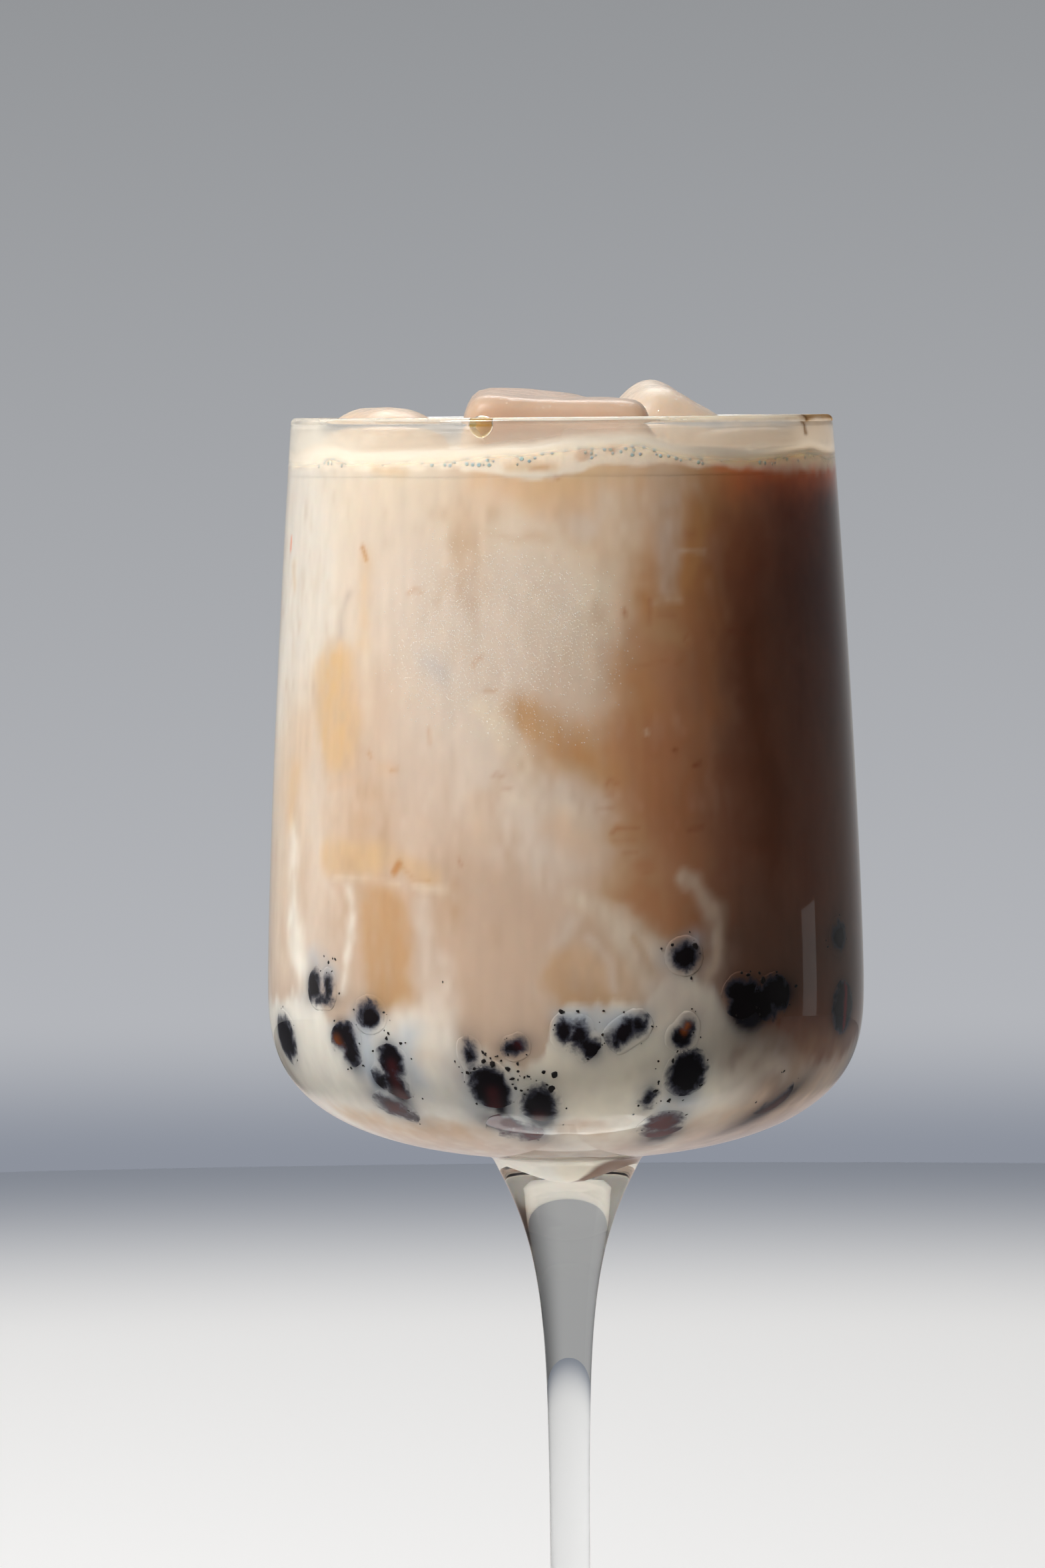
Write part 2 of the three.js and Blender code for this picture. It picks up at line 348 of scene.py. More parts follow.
class Wall:
    """Points on the bowl's wall, as the brush sees them: mm round the wall and mm up."""

    def __init__(self, points):
        self.points = points
        self.angle = angle_of(points)
        self.height = points[:, 2]
        self.per_degree = np.hypot(points[:, 0], points[:, 1]) * math.pi / 180
        sizes = ((9, 0.9), (3.2, 0.45), (1.3, 0.22))
        self.aside = sum(haze(points, size, 1) * reach for size, reach in sizes)
        self.rise = sum(haze(points, size, 2) * reach for size, reach in sizes)

    def across_from(self, angle):
        """How far round the wall the points lie from an angle, in mm."""
        return ((self.angle - angle + 180) % 360 - 180) * self.per_degree

    def near(self, path, width, soft, straight=0.0):
        """Share from 0 to 1 of a brush stroke along a path of (angle, height) points."""
        nearest = np.full(len(self.height), 1e9)
        for (angle_a, height_a), (angle_b, height_b) in zip(path, path[1:] or path):
            across = self.across_from(angle_a) + self.aside * (1 - straight)
            up = self.height - height_a + self.rise * (1 - straight)
            run_across, run_up = (angle_b - angle_a) * self.per_degree, height_b - height_a
            length = np.maximum(run_across**2 + run_up**2, 1e-6)
            share = np.clip((across * run_across + up * run_up) / length, 0, 1)
            gap = np.hypot(across - share * run_across, up - share * run_up)
            nearest = np.minimum(nearest, gap)
        return eased((width / 2 + soft - nearest) / (2 * soft))

    def brush(self, base, strokes, straight=0.0, times=1.0):
        """Colours of the points with strokes laid over them, one after the other."""
        for colour, strength, width, soft, path in strokes:
            cover = np.minimum(self.near(path, width, soft, straight) * strength * times, 1)
            base = coat(base, cover, colour)
        return base


# Washes and streaks as they lie over each other: colour, strength, width, softness, path
WASHES = [
    (CREAM, 1.0, 50, 14, [(-75, 200), (-70, 172)]),
    (COOL_MILK, 0.85, 26, 10, [(-72, 200), (-72, 178)]),
    (CREAM, 0.9, 22, 8, [(-38, 200), (-34, 186)]),
    (PEACH, 0.3, 7, 5, [(-22, 196), (-18, 182)]),
    (BLUSH, 0.95, 24, 10, [(-30, 178), (-22, 166)]),
    (BLUSH, 0.9, 14, 7, [(-10, 184), (2, 180)]),
    (CREAM, 0.7, 9, 5, [(-18, 191), (-4, 190)]),
    (HONEY, 0.6, 4, 4, [(-14, 197), (8, 196.5)]),
    (CREAM, 0.8, 10, 6, [(10, 188), (6, 180)]),
    (HONEY, 0.6, 10, 6, [(14, 195), (15, 182)]),
    (CREAM, 0.6, 6, 6, [(6, 180), (7, 168)]),
    (BLUSH, 0.75, 12, 7, [(-24, 164), (-16, 154), (-4, 147)]),
    (TEA, 0.8, 20, 8, [(-46, 160), (-36, 150)]),
    (PEACH, 0.5, 10, 7, [(-66, 160), (-70, 140)]),
    (BLUSH, 0.6, 8, 6, [(-56, 136), (-58, 128)]),
    (FIELD, 0.9, 12, 6, [(-38, 132), (-14, 136)]),
    (FIELD, 0.7, 9, 6, [(-34, 143), (-14, 143)]),
    (TAN, 0.75, 11, 7, [(10, 152), (16, 143), (12, 132)]),
    (TAN, 0.7, 6, 5, [(-4, 160), (4, 158)]),
    (AMBER, 0.8, 9, 6, [(18, 172), (16, 156)]),
    (CARAMEL, 0.9, 10, 7, [(27, 182), (25, 160), (25, 136)]),
    (AMBER, 0.9, 12, 6, [(26, 200), (28, 182)]),
    (CARAMEL, 0.6, 9, 6, [(37, 190), (35, 176)]),
    # on the right: coffee, with painted shade over it
    (COFFEE, 0.95, 40, 10, [(72, 200), (72, 122)]),
    (COFFEE, 0.9, 12, 8, [(42, 184), (43, 160), (42, 124)]),
    (COFFEE, 0.75, 9, 8, [(34, 156), (32, 138), (36, 126)]),
    (ESPRESSO, 0.95, 20, 10, [(70, 192), (76, 172)]),
    (SHADED_MILK, 0.5, 16, 9, [(76, 160), (70, 120)]),
    (SHADED_MILK, 0.85, 13, 8, [(34, 134), (50, 129), (76, 128)]),
    (MOCHA, 0.75, 7, 5, [(41, 174), (43, 148)]),
    (MOCHA, 0.5, 4, 4, [(32, 172), (33, 158)]),
    (RUSSET, 0.95, 10, 4, [(38, 199.5), (54, 199.5), (76, 199)]),
    (RUSSET, 0.15, 12, 8, [(42, 192), (58, 192)]),
    (HONEY, 0.7, 5, 4, [(20, 198), (31, 197)]),
    (AMBER, 0.6, 5, 4, [(26, 194), (36, 196)]),
    (COOL_MILK, 0.45, 4, 3, [(-59, 160), (-57, 145)]),
    (CREAM, 0.7, 6, 5, [(-77, 146), (-77, 130)]),
    (MILK, 0.4, 5, 4, [(-79, 188), (-79, 164)]),
    (TAN, 0.6, 6, 4, [(14, 139), (19, 134)]),
    (GREY_MILK, 0.45, 7, 5, [(3, 131), (26, 130)]),
    (BLUSH, 0.5, 8, 5, [(-34, 161), (-30, 151)]),
]
STREAKS = [
    # upper left: a pale column with its orange edge, golden patch below
    (GOLD, 0.75, 1.6, 1.8, [(-44.5, 185), (-44, 179.5), (-45, 173.5)]),
    (COOL_MILK, 0.6, 3.5, 2.2, [(-57.5, 185), (-57.5, 173)]),
    (GREY_MILK, 0.55, 1, 1.2, [(-49.5, 180.5), (-51.5, 177), (-52, 174.5)]),
    (GOLD, 0.85, 8.5, 1.8, [(-53.5, 169.5), (-53, 165.5), (-52, 161)]),
    (CREAM, 0.5, 1.2, 1.2, [(-44.5, 174.5), (-43.5, 168), (-43.5, 161)]),
    (GOLD, 0.6, 1.2, 1.2, [(-74.5, 184.5), (-73, 181.5)]),
    (PEACH, 0.5, 3.4, 2.4, [(-20.5, 192), (-19.5, 186.5), (-16.5, 182)]),
    (BLUSH, 0.6, 14, 5, [(-32, 179), (-22.5, 177.5), (-11, 179)]),
    (BLUE_MILK, 0.3, 2.2, 2.2, [(-29, 172.5), (-25.5, 171)]),
    # upper middle: khaki smears, a pale disc, cream down to the amber gash
    (GOLD, 0.55, 3, 2.5, [(-6.5, 194.5), (1, 196), (8.5, 197.5)]),
    (TAN, 0.3, 0.8, 0.8, [(-16, 189.5), (-10, 189)]),
    (TAN, 0.35, 1.2, 1, [(-8, 189.5), (-2.5, 189)]),
    (BLUSH, 0.8, 3.4, 1.3, [(4.5, 191), (5, 190.5)]),
    (CREAM, 0.6, 6, 3, [(11.5, 193), (12, 188.5), (7.5, 183)]),
    (PEACH, 0.6, 7, 1.6, [(22, 195), (24.5, 193)]),
    (AMBER, 0.75, 3.6, 1.4, [(27.5, 192), (27, 188), (26.5, 186.5)]),
    (CARAMEL, 0.5, 1, 1, [(24.5, 188.5), (26.5, 188.5)]),
    (AMBER, 0.85, 2.8, 1.1, [(26.5, 185), (25, 182.5), (23, 180)]),
    (CARAMEL, 0.7, 0.7, 0.6, [(28.5, 184), (28, 182)]),
    (CREAM, 0.4, 0.5, 0.5, [(23.5, 186.5), (29.5, 186)]),
    (BLUSH, 0.7, 2.4, 1.4, [(21, 192.5), (21.5, 185), (22, 181)]),
    (AMBER, 0.85, 1.8, 1.4, [(16, 180), (17, 178)]),
    (CARAMEL, 0.8, 0.6, 0.5, [(17.5, 179.5), (17.5, 176.5)]),
    (CARAMEL, 0.8, 0.6, 0.45, [(19.5, 177.5), (23, 177.5)]),
    (CREAM, 0.3, 0.8, 0.6, [(18.5, 179), (24.5, 179.5)]),
    (TAN, 0.6, 1.6, 1, [(17, 176), (23.5, 175), (25, 174.5)]),
    (CARAMEL, 0.7, 4, 3.2, [(31, 178), (30.5, 165.5)]),
    (AMBER, 0.5, 4.5, 2.6, [(13.5, 169.5), (16, 165.5)]),
    (TAN, 0.8, 6, 2.2, [(-8, 164.5), (-2.5, 162), (2.5, 159)]),
    (AMBER, 0.55, 3.5, 2.2, [(0.5, 160.5), (4.5, 157)]),
    (TAN, 0.8, 2.6, 1, [(-1.5, 157), (7, 156.5), (11, 157)]),
    (AMBER, 0.55, 3, 2.2, [(8, 163), (9, 157.5)]),
    (CREAM, 0.75, 2.6, 1.2, [(-16.5, 166), (-11.5, 161), (-6, 155.5)]),
    (BLUSH, 0.7, 7, 2.4, [(-2, 153.5), (4, 152), (4.5, 148)]),
    (BLUSH, 0.6, 9, 4, [(-17.5, 154), (-11, 151), (-6, 147)]),
    (PEACH, 0.5, 3, 2, [(-17.5, 152.5), (-17, 149)]),
    (CREAM, 0.55, 2, 1.4, [(-12.5, 154.5), (-2.5, 152.5), (4.5, 150), (8, 148)]),
    (PEACH, 0.55, 4, 1.6, [(-2, 150), (4.5, 147.5)]),
    (TAN, 0.75, 3.6, 0.9, [(10, 148.5), (13, 148.5)]),
    (CARAMEL, 0.6, 12, 5, [(19.5, 159), (19.5, 150.5)]),
    # left: golden streaks, thin white lines and the tan patch with its drop
    (GOLD, 0.75, 2.8, 1.8, [(-67.5, 156.5), (-69, 149.5)]),
    (BLUSH, 0.7, 1.5, 1.1, [(-57.5, 159.5), (-57, 151.5), (-57.5, 146.5), (-54.5, 142.5), (-52, 140)]),
    (MILK, 0.7, 2.8, 2.4, [(-67, 147.5), (-68, 142), (-65, 135), (-63.5, 131)]),
    (GOLD, 0.7, 4.4, 1.6, [(-52.5, 145), (-40, 144.5)]),
    (GOLD, 0.5, 2.4, 1.2, [(-37.5, 146), (-32, 144), (-28, 142.5)]),
    (PEACH, 0.55, 1.4, 1, [(-39.5, 157), (-36, 157)]),
    (PEACH, 0.5, 0.8, 0.8, [(-54, 154.5), (-45.5, 155.5)]),
    (CREAM, 0.6, 0.7, 0.6, [(-51, 142), (-42.5, 142), (-34.5, 141.5)]),
    (CREAM, 0.6, 0.8, 0.6, [(-31, 141.5), (-24.5, 141)]),
    (BLUSH, 0.6, 1.6, 1, [(-16.5, 141), (-12.5, 141)]),
    (PEACH, 0.7, 7, 2.4, [(-39, 138.5), (-38, 133)]),
    (MILK, 0.6, 1, 1, [(-47, 140.5), (-47.5, 136), (-48, 131.5)]),
    (TAN, 0.75, 8.6, 1.5, [(-38.5, 137), (-37.5, 131.5), (-36.5, 128.5)]),
    (TAN, 0.6, 4, 1.2, [(-36.5, 127), (-34, 126.5)]),
    (MILK, 0.6, 0.9, 1, [(-47, 136.5), (-48, 131), (-49, 127)]),
    (MILK, 0.75, 4, 2.4, [(-67, 135.5), (-65, 132.5), (-62, 128.5)]),
    # middle: pink curdled column, tan field, lobe with a pale outline
    (BLUSH, 0.8, 2, 1.2, [(-29.5, 139.5), (-29, 132.5)]),
    (BLUSH, 0.85, 6, 2.2, [(-27.5, 130), (-25.5, 123.5), (-27.5, 119.5)]),
    (BLUSH, 0.8, 5.5, 2, [(-32, 121.5), (-22, 118.5)]),
    (FIELD, 0.85, 12, 2.2, [(-13, 138), (-13, 130), (-12.5, 124.5)]),
    (FIELD, 0.9, 3.6, 0.9, [(-18.5, 121.5), (-10, 120.5), (-3.5, 119.5)]),
    (BLUSH, 0.65, 1.6, 1.1, [(0.5, 137.5), (-3, 133.5), (-5.5, 130.5), (-6, 127.5), (-3, 124.5)]),
    (TAN, 0.6, 8, 1.6, [(-0.5, 129.5), (10.5, 128)]),
    (PEACH, 0.5, 5, 1.6, [(2.5, 131.5), (10, 129)]),
    (TAN, 0.5, 1.4, 0.8, [(-1, 125.5), (6.5, 125), (15, 124.5)]),
    (BLUSH, 0.6, 1.2, 1, [(4, 134.5), (7.5, 131.5), (8.5, 128)]),
    # the two cream ribbons that run down to the pearls on the right
    (CREAM, 0.75, 2.6, 1.2, [(2, 140), (7, 138.5), (10.5, 135), (14.5, 132.5)]),
    (CREAM, 0.6, 2.4, 1, [(4.5, 139), (9.5, 134), (13, 130), (17.5, 126), (16.5, 122.5)]),
    (CREAM, 0.6, 2.2, 1.1, [(10.5, 137.5), (15, 133.5), (19, 129.5), (22, 127)]),
    (TAN, 0.7, 0.8, 0.6, [(13, 133.5), (16, 129.5), (20, 126.5), (22, 124)]),
    (TEA, 0.8, 3.2, 1.6, [(18.5, 128.5), (24.5, 126.5), (26, 123.5)]),
    (CREAM, 0.7, 2.2, 1, [(23, 143), (25.5, 142.5), (28, 138.5), (28.5, 134)]),
    (TEA, 0.8, 2, 1.2, [(29, 139), (29.5, 134), (28.5, 128.5), (26.5, 125)]),
    (CARAMEL, 0.6, 7, 2.4, [(15.5, 139.5), (21.5, 137.5)]),
    (CARAMEL, 0.55, 1.8, 1.2, [(14, 144), (16, 144.5)]),
]
BACK_STREAKS = 46
BACK_COLOURS = (CREAM, BLUSH, COOL_MILK, GOLD, PEACH, TAN, CARAMEL, AMBER)
anyhow = random.Random(3)
for _ in range(BACK_STREAKS):
    turn, top, drop = anyhow.uniform(88, 272), anyhow.uniform(132, 198), anyhow.uniform(4, 26)
    bend, wide = anyhow.uniform(-6, 6), anyhow.uniform(1, 6)
    run = [(turn, top), (turn + bend, top - drop / 2), (turn + bend * 0.4, top - drop)]
    STREAKS.append((anyhow.choice(BACK_COLOURS), anyhow.uniform(0.45, 0.85), wide, wide * 0.5, run))

# Small sharp marks: colour, strength, width, path
FLECK_SOFT = 0.4
FLECKS = [
    (RUSSET, 0.9, 0.7, [(-77, 188.2), (-77.1, 186.8)]),
    (AMBER, 0.8, 0.7, [(-45.8, 187.1), (-44.5, 185.6)]),
    (AMBER, 0.5, 0.4, [(-33.4, 181.1), (-31.9, 181.7), (-30.2, 181.4)]),
    (AMBER, 0.5, 0.4, [(-16.3, 172.8), (-18.3, 172.1), (-18.4, 171.2)]),
    (AMBER, 0.45, 0.5, [(-15.9, 168.1), (-13.8, 168)]),
    (CARAMEL, 0.7, 0.5, [(11.9, 178.7), (12.3, 178.1)]),
    (CARAMEL, 0.8, 0.4, [(25.1, 175.2), (24.5, 174.5), (25.5, 174.1)]),
    (CARAMEL, 0.55, 0.3, [(13.5, 171.1), (17.6, 171.6), (21.1, 172.1)]),
    (CARAMEL, 0.7, 0.4, [(22.9, 171.4), (24.1, 171.9)]),
    (COFFEE, 0.7, 0.3, [(35.5, 175.7), (38.8, 175.2), (41.8, 173.6)]),
    (COFFEE, 0.7, 0.3, [(35.2, 172), (41.3, 172.2)]),
    (COFFEE, 0.5, 0.3, [(56.2, 172.6), (58, 172.1)]),
    (AMBER, 0.55, 0.5, [(-42.3, 159.4), (-41.7, 158.8)]),
    (AMBER, 0.5, 0.4, [(-36.7, 156.9), (-35, 157.2)]),
    (AMBER, 0.4, 0.5, [(-27.8, 163), (-27.4, 160.8)]),
    (CARAMEL, 0.4, 0.4, [(-14.5, 156.6), (-13.6, 157)]),
    (CARAMEL, 0.4, 0.4, [(-13.1, 156.4), (-12.2, 156.7)]),
    (CARAMEL, 0.35, 0.4, [(-12.4, 155.1), (-10.8, 154.9)]),
    (AMBER, 0.9, 1, [(-34.2, 144.4), (-35.2, 143.2)]),
    (AMBER, 0.4, 0.4, [(-33.4, 143.9), (-31.1, 142.4), (-27.8, 142.2)]),
    (CARAMEL, 0.7, 0.4, [(7.8, 155.3), (8.6, 156.1), (10.1, 155.5)]),
    (CARAMEL, 0.45, 0.4, [(7.6, 154.1), (9.1, 154.2)]),
    (CARAMEL, 0.35, 0.4, [(6.4, 152.3), (9, 152.1)]),
    (CARAMEL, 0.75, 0.35, [(8.7, 148.7), (9.6, 149.4), (12.2, 149.6), (13.9, 149.4)]),
    (CARAMEL, 0.35, 0.3, [(9, 147.6), (13.2, 147.6)]),
    (COFFEE, 0.7, 0.4, [(24.5, 149.1), (27.6, 149.2)]),
    (COFFEE, 0.8, 0.5, [(21.9, 160), (22.2, 159.8)]),
    (COFFEE, 0.8, 0.5, [(25.9, 157.6), (27.1, 157.9)]),
    (CARAMEL, 0.4, 0.4, [(11.1, 145.9), (13.5, 146)]),
    (CARAMEL, 0.45, 0.4, [(15, 143.1), (16.8, 143.6)]),
    (CREAM, 0.8, 0.4, [(16.2, 162.3), (16.4, 162.2)]),
    (CARAMEL, 0.5, 0.4, [(-21.4, 145.2), (-20.9, 144.2)]),
]

# The height of the settled milk by angle, and what stains it
SHORE = [
    (-180, 122), (-90, 123), (-72, 124), (-62, 126.5), (-54, 123), (-50, 121), (-44, 121.5), (-40, 123),
    (-33, 123), (-29, 122.5), (-25, 121.5), (-20, 118.5), (-15, 118), (-9, 117), (-4.5, 118.5), (-3, 123.5),
    (0, 124.5), (15, 124.8), (18, 128), (24, 129), (29, 127), (31, 124), (36, 121), (44, 119), (55, 115),
    (70, 114), (90, 118), (180, 122),
]
STAINS = [
    (HALO, 0.75, 4.5, 2, [(-44, 122), (-43.5, 117), (-41, 113.5)]),
    (HALO, 0.7, 3, 2, [(-57, 131), (-54, 129)]),
    (HALO, 0.6, 4, 2.5, [(-21, 116), (-19, 113)]),
    (HALO, 0.5, 3.4, 2, [(-12, 113.5), (-9, 110.5)]),
    (HALO, 0.6, 3, 2, [(22, 112.6), (28, 111.6)]),
    (HALO, 0.6, 3, 2, [(-32, 121), (-31.5, 114)]),
    (HALO, 0.55, 2.4, 2, [(19, 131.5), (25, 134.5)]),
    (PEACH, 0.35, 3, 2.5, [(-28, 118), (-22, 116)]),
    (GOLD, 0.85, 2.2, 1.4, [(-66, 109.6), (-52, 108.4), (-38, 107.8), (-26, 107.6)]),
    (TAN, 0.5, 1, 1, [(-44, 108), (-34, 107.6)]),
    (TAN, 0.5, 1.6, 1.4, [(-32, 108.2), (-18, 108.6)]),
    (HALO, 0.85, 2.6, 1.4, [(-1, 123.4), (6, 123.4), (14, 123.6)]),
    (TAN, 0.55, 1.6, 1.0, [(-1, 109.4), (5, 109.8), (10, 109.2)]),
    (CARAMEL, 0.3, 0.8, 0.7, [(1, 110.4), (8, 110.2)]),
    (PEACH, 0.6, 2.2, 1.6, [(32, 109), (40, 110.2), (46, 112.5)]),
    (GREY_MILK, 0.5, 3, 2, [(32, 119), (36, 114)]),
    (BLUSH, 0.75, 7, 4, [(18, 128), (26, 123)]),
    (SHADED_MILK, 0.6, 5, 4, [(35, 118.5), (52, 117.5)]),
    (TAN, 0.3, 5, 3, [(54, 117), (76, 117)]),
    (PEACH, 0.7, 4, 3, [(56, 111.5), (76, 112.5)]),
    (GREY_MILK, 0.6, 3, 2, [(-80, 116), (-77, 113)]),
    (CREAM, 0.5, 1.6, 1.4, [(44, 116), (50, 114.4)]),
    (FIELD, 0.85, 4, 2.6, [(-62, 106.8), (-30, 105.8), (10, 105.6), (50, 107.4)]),
]

# The lower edge of the froth by angle, and the stains in it
FROTH_EDGE = [
    (-180, 198.2), (-90, 198.2), (-73, 198.1), (-50, 197.9), (-35, 198.1), (-23, 198.1), (-15, 197.4),
    (-11, 196.9), (-2, 196.7), (4, 197.7), (8, 198.5), (16, 198.7), (28, 198.3), (38, 197.9), (50, 197.9),
    (73, 197.7), (90, 198), (180, 198.2),
]
FROTH_STAINS = [
    (GOLD, 0.7, 1.0, 0.8, [(-11, 198.3), (-7, 198.4), (-1.5, 198.3)]),
    (AMBER, 0.6, 0.5, 0.4, [(-6, 198), (-3, 198.2)]),
    (GOLD, 0.5, 1.2, 1, [(-43, 198.3), (-35, 197.6)]),
    (CARAMEL, 0.6, 0.5, 0.5, [(-1.2, 197), (-0.6, 196.8)]),
    (PEACH, 0.9, 1.7, 0.3, [(4.2, 199.8), (4.4, 199.8)]),
    (PEACH, 0.9, 1.2, 0.3, [(10.1, 200.5), (10.3, 200.5)]),
    (GREY_MILK, 0.4, 0.5, 0.5, [(-73, 199), (-72, 198.4)]),
    (GREY_MILK, 0.35, 0.6, 0.5, [(-55, 198.8), (-53, 198.6)]),
]


def froth_edge(points):
    edge = np.interp(angle_of(points), *np.transpose(FROTH_EDGE))
    return edge + haze(points, 3.5, 32) * 0.5 + haze(points, 1.2, 33) * 0.3


def brew(wall):
    """The tea's colour on the wall: washes, cloudiness, streaks, milk below and froth above, with painted
    shade on the right.
    """
    tea = wall.brush(np.tile(tint(TEA), (len(wall.height), 1)), WASHES, -1.5)
    curdled = wall.points * [1, 1, 0.5]
    coarse, curds, grains = (haze(curdled, size, 3) for size in (7, 2.4, 1))
    cloudy = 0.6 * coarse + 0.45 * curds + 0.3 * grains
    from_back = eased((170 - wall.angle) / 60)
    # pale clouds only on the left, so that the right stays dark as painted shade
    lit = 1 - eased((wall.angle - 18) / 20) * from_back
    tea = coat(tea, eased(cloudy - 0.05) * 0.6 * lit, BLUSH)
    tea = coat(tea, eased(-cloudy - 0.05) * 0.45 * lit, TAN)
    wispy = np.clip(1 + 0.45 * curds + 0.35 * grains, 0, 1.2)
    tea = wall.brush(tea, STREAKS, times=wispy)
    tea = wall.brush(tea, [(*look, FLECK_SOFT, path) for *look, path in FLECKS], 0.7)

    shore = np.interp(wall.angle, *np.transpose(SHORE)) + 0.9 * curds + 0.6 * grains
    blur = 2.4 + 8 * np.exp(-(((wall.angle + 27) / 9) ** 2)) + 4 * eased((wall.angle - 24) / 12) * from_back
    settled = eased((shore - wall.height) / blur + 0.5)
    to_middle = eased((wall.angle + 32) / 30) * from_back
    to_right = eased((wall.angle - 32) / 18) * from_back
    tea = coat(tea, settled * 0.95, MILK)
    tea = coat(tea, settled * to_middle * 0.8, WARM_MILK)
    # the milk settled on the right is painted darker, as shade
    tea = coat(tea, settled * to_right * 0.9, SHADED_MILK)
    tea = wall.brush(tea, STAINS, times=wispy)
    frothy = eased((wall.height - froth_edge(wall.points)) / (0.9 + 1.4 * to_right) + 0.5)
    tea = coat(tea, frothy, FROTH)
    # tan froth on the right, painted paler as light coming through the froth
    tea = coat(tea, frothy * eased((wall.angle - 14) / 30) * from_back * 0.75, FROTH_TAN_PAINTED_LIGHT)
    at_glass = eased((np.hypot(wall.points[:, 0], wall.points[:, 1]) - 34.5) / 1.5)
    tea = wall.brush(tea, FROTH_STAINS, 0.6, at_glass)
    fibres = haze(wall.points * [1, 1, 0.1], 0.9, 6) + haze(wall.points * [1, 1, 0.25], 2.2, 7)
    return np.clip(tea * (1 + 0.03 * fibres + 0.035 * cloudy + 0.02 * grains)[:, None], 0, 1)


# Where pearls touch the wall: angle, height, half width, half height and tilt of each dark
# patch. TOUCHES belong to the frame's pearls, SUNK to smaller ones beside them, which lie
# almost wholly in the milk, each at its own angle and height.
TOUCHES = {
    "pearl_01": [(-72.6, 119.2, 3.6, 2.8, 0)],
    "pearl_02": [(-57.9, 126.8, 1.6, 1.9, -10), (-52.9, 127.2, 0.8, 1.1, 0), (-55.8, 125.2, 2.0, 0.6, 0)],
    "pearl_03": [(-41.5, 123.6, 2.0, 1.7, 0)],
    "pearl_04": [(-48.8, 120.4, 2.3, 2.0, 0), (-47.5, 118.2, 1.3, 2.2, 12)],
    "pearl_05": [(-37, 117.6, 1.8, 2.6, 10), (-37.6, 113.6, 1.6, 2.6, 4), (-41.3, 114.8, 1.2, 1.1, 0)],
    "pearl_06": [(-16, 114.2, 2.5, 2.8, 0), (-17.6, 115.8, 1.4, 1.3, 0), (-14.6, 112, 1.3, 1.4, 0)],
    "pearl_07": [(-6, 111.6, 2.2, 3.0, 0)],
    "pearl_08": [(-0.6, 122, 1.1, 1.4, 0), (2.2, 121.4, 1.3, 1.6, 0), (4.2, 119.8, 1.7, 1.3, -35)],
    "pearl_09": [(11, 121.7, 2.8, 1.3, 35), (13.2, 122.5, 1.2, 1.2, 0)],
    "pearl_10": [(23, 131.8, 1.8, 1.8, 0)],
    "pearl_11": [(37.4, 124.4, 3.6, 3.6, 0), (34.9, 126.5, 2.0, 1.8, 0)],
    "pearl_12": [(44.6, 125.8, 3.1, 2.2, 0), (40, 124.6, 3.2, 2.4, 0)],
    "pearl_13": [(24.3, 115.9, 2.6, 3.0, 0)],
    "pearl_14": [(22.4, 120.8, 1.4, 1.3, 0), (23.6, 122.2, 0.9, 1.0, 0)],
    "pearl_15": [(52.4, 110.8, 4.2, 1.3, 38)],
    "pearl_16": [(66.5, 132.7, 2.2, 1.8, 0)],
    "pearl_17": [(68.2, 122.8, 3.6, 3.3, 0)],
}
SUNK = {
    (-19.3, 118.9): [(-19.3, 118.9, 0.8, 1.4, 8)],
    (-10.1, 119.9): [(-11, 119.7, 1.1, 0.8, 0), (-9.2, 120.2, 1.0, 0.8, 20)],
    (17, 113): [(17, 113, 0.7, 1.2, 0)],
    (22.9, 109.4): [(22.9, 109.6, 2.2, 1.3, 0), (24.9, 107.9, 2.4, 1.2, 0)],
    (-41.4, 111.4): [(-41.4, 111.4, 2.4, 1.1, -20)],
    (-13, 109.2): [(-16.1, 109.8, 2.8, 1.1, -15), (-9.6, 108.4, 2.4, 0.9, -8)],
}
PEARL_NODES = sorted(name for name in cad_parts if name.startswith("pearl_"))
SUNK_RADIUS = 0.85
BACK_TOUCHES = 3
PEARL_SHIFT = 0.6
BLUE_SHADE = (112, 118, 132)
PEARL_SHADOW = (40, 36, 42)
SHADE_REACH = 0.9


def pearl_from_box(node):
    """Angle, height and radius of a pearl of the frame."""
    low, high = (np.array(corner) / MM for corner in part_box(node))
    middle = (low + high) / 2
    return math.degrees(math.atan2(middle[0], -middle[1])), middle[2], (high - low)[2] / 2


pearls = []
chance = random.Random(11)
for node in PEARL_NODES:
    turn, up, radius = pearl_from_box(node)
    touches = TOUCHES.get(node)
    if touches is None:
        spans = (turn, -2, 2), (up, -1.2, 1.2), (0, 1, 2.2), (0, 1, 2.2), (0, -30, 30)
        touches = [
            [start + chance.uniform(low, high) for start, low, high in spans] for _ in range(BACK_TOUCHES)
        ]
    else:
        # a pearl lies most of the way from its place in the frame to where its patches are
        turn += (np.mean([touch[0] for touch in touches]) - turn) * PEARL_SHIFT
        up += (np.mean([touch[1] for touch in touches]) - up) * PEARL_SHIFT
    pearls.append((turn, up, radius, touches))
for (turn, up), touches in SUNK.items():
    radius = max(max(across, high) for _, _, across, high, _ in touches) + SUNK_RADIUS
    pearls.append((turn, up, radius, touches))


def past_edge(wall, touches):
    """Distance in mm past the nearest dark patch's edge, less than 0 inside it."""
    nearest = np.full(len(wall.height), 1e9)
    for turn, up, across, high, tilt in touches:
        lean = math.radians(tilt)
        aside, rise = wall.across_from(turn), wall.height - up
        along = (aside * math.cos(lean) + rise * math.sin(lean)) / across
        over = (rise * math.cos(lean) - aside * math.sin(lean)) / high
        nearest = np.minimum(nearest, (np.hypot(along, over) - 1) * min(across, high))
    return nearest


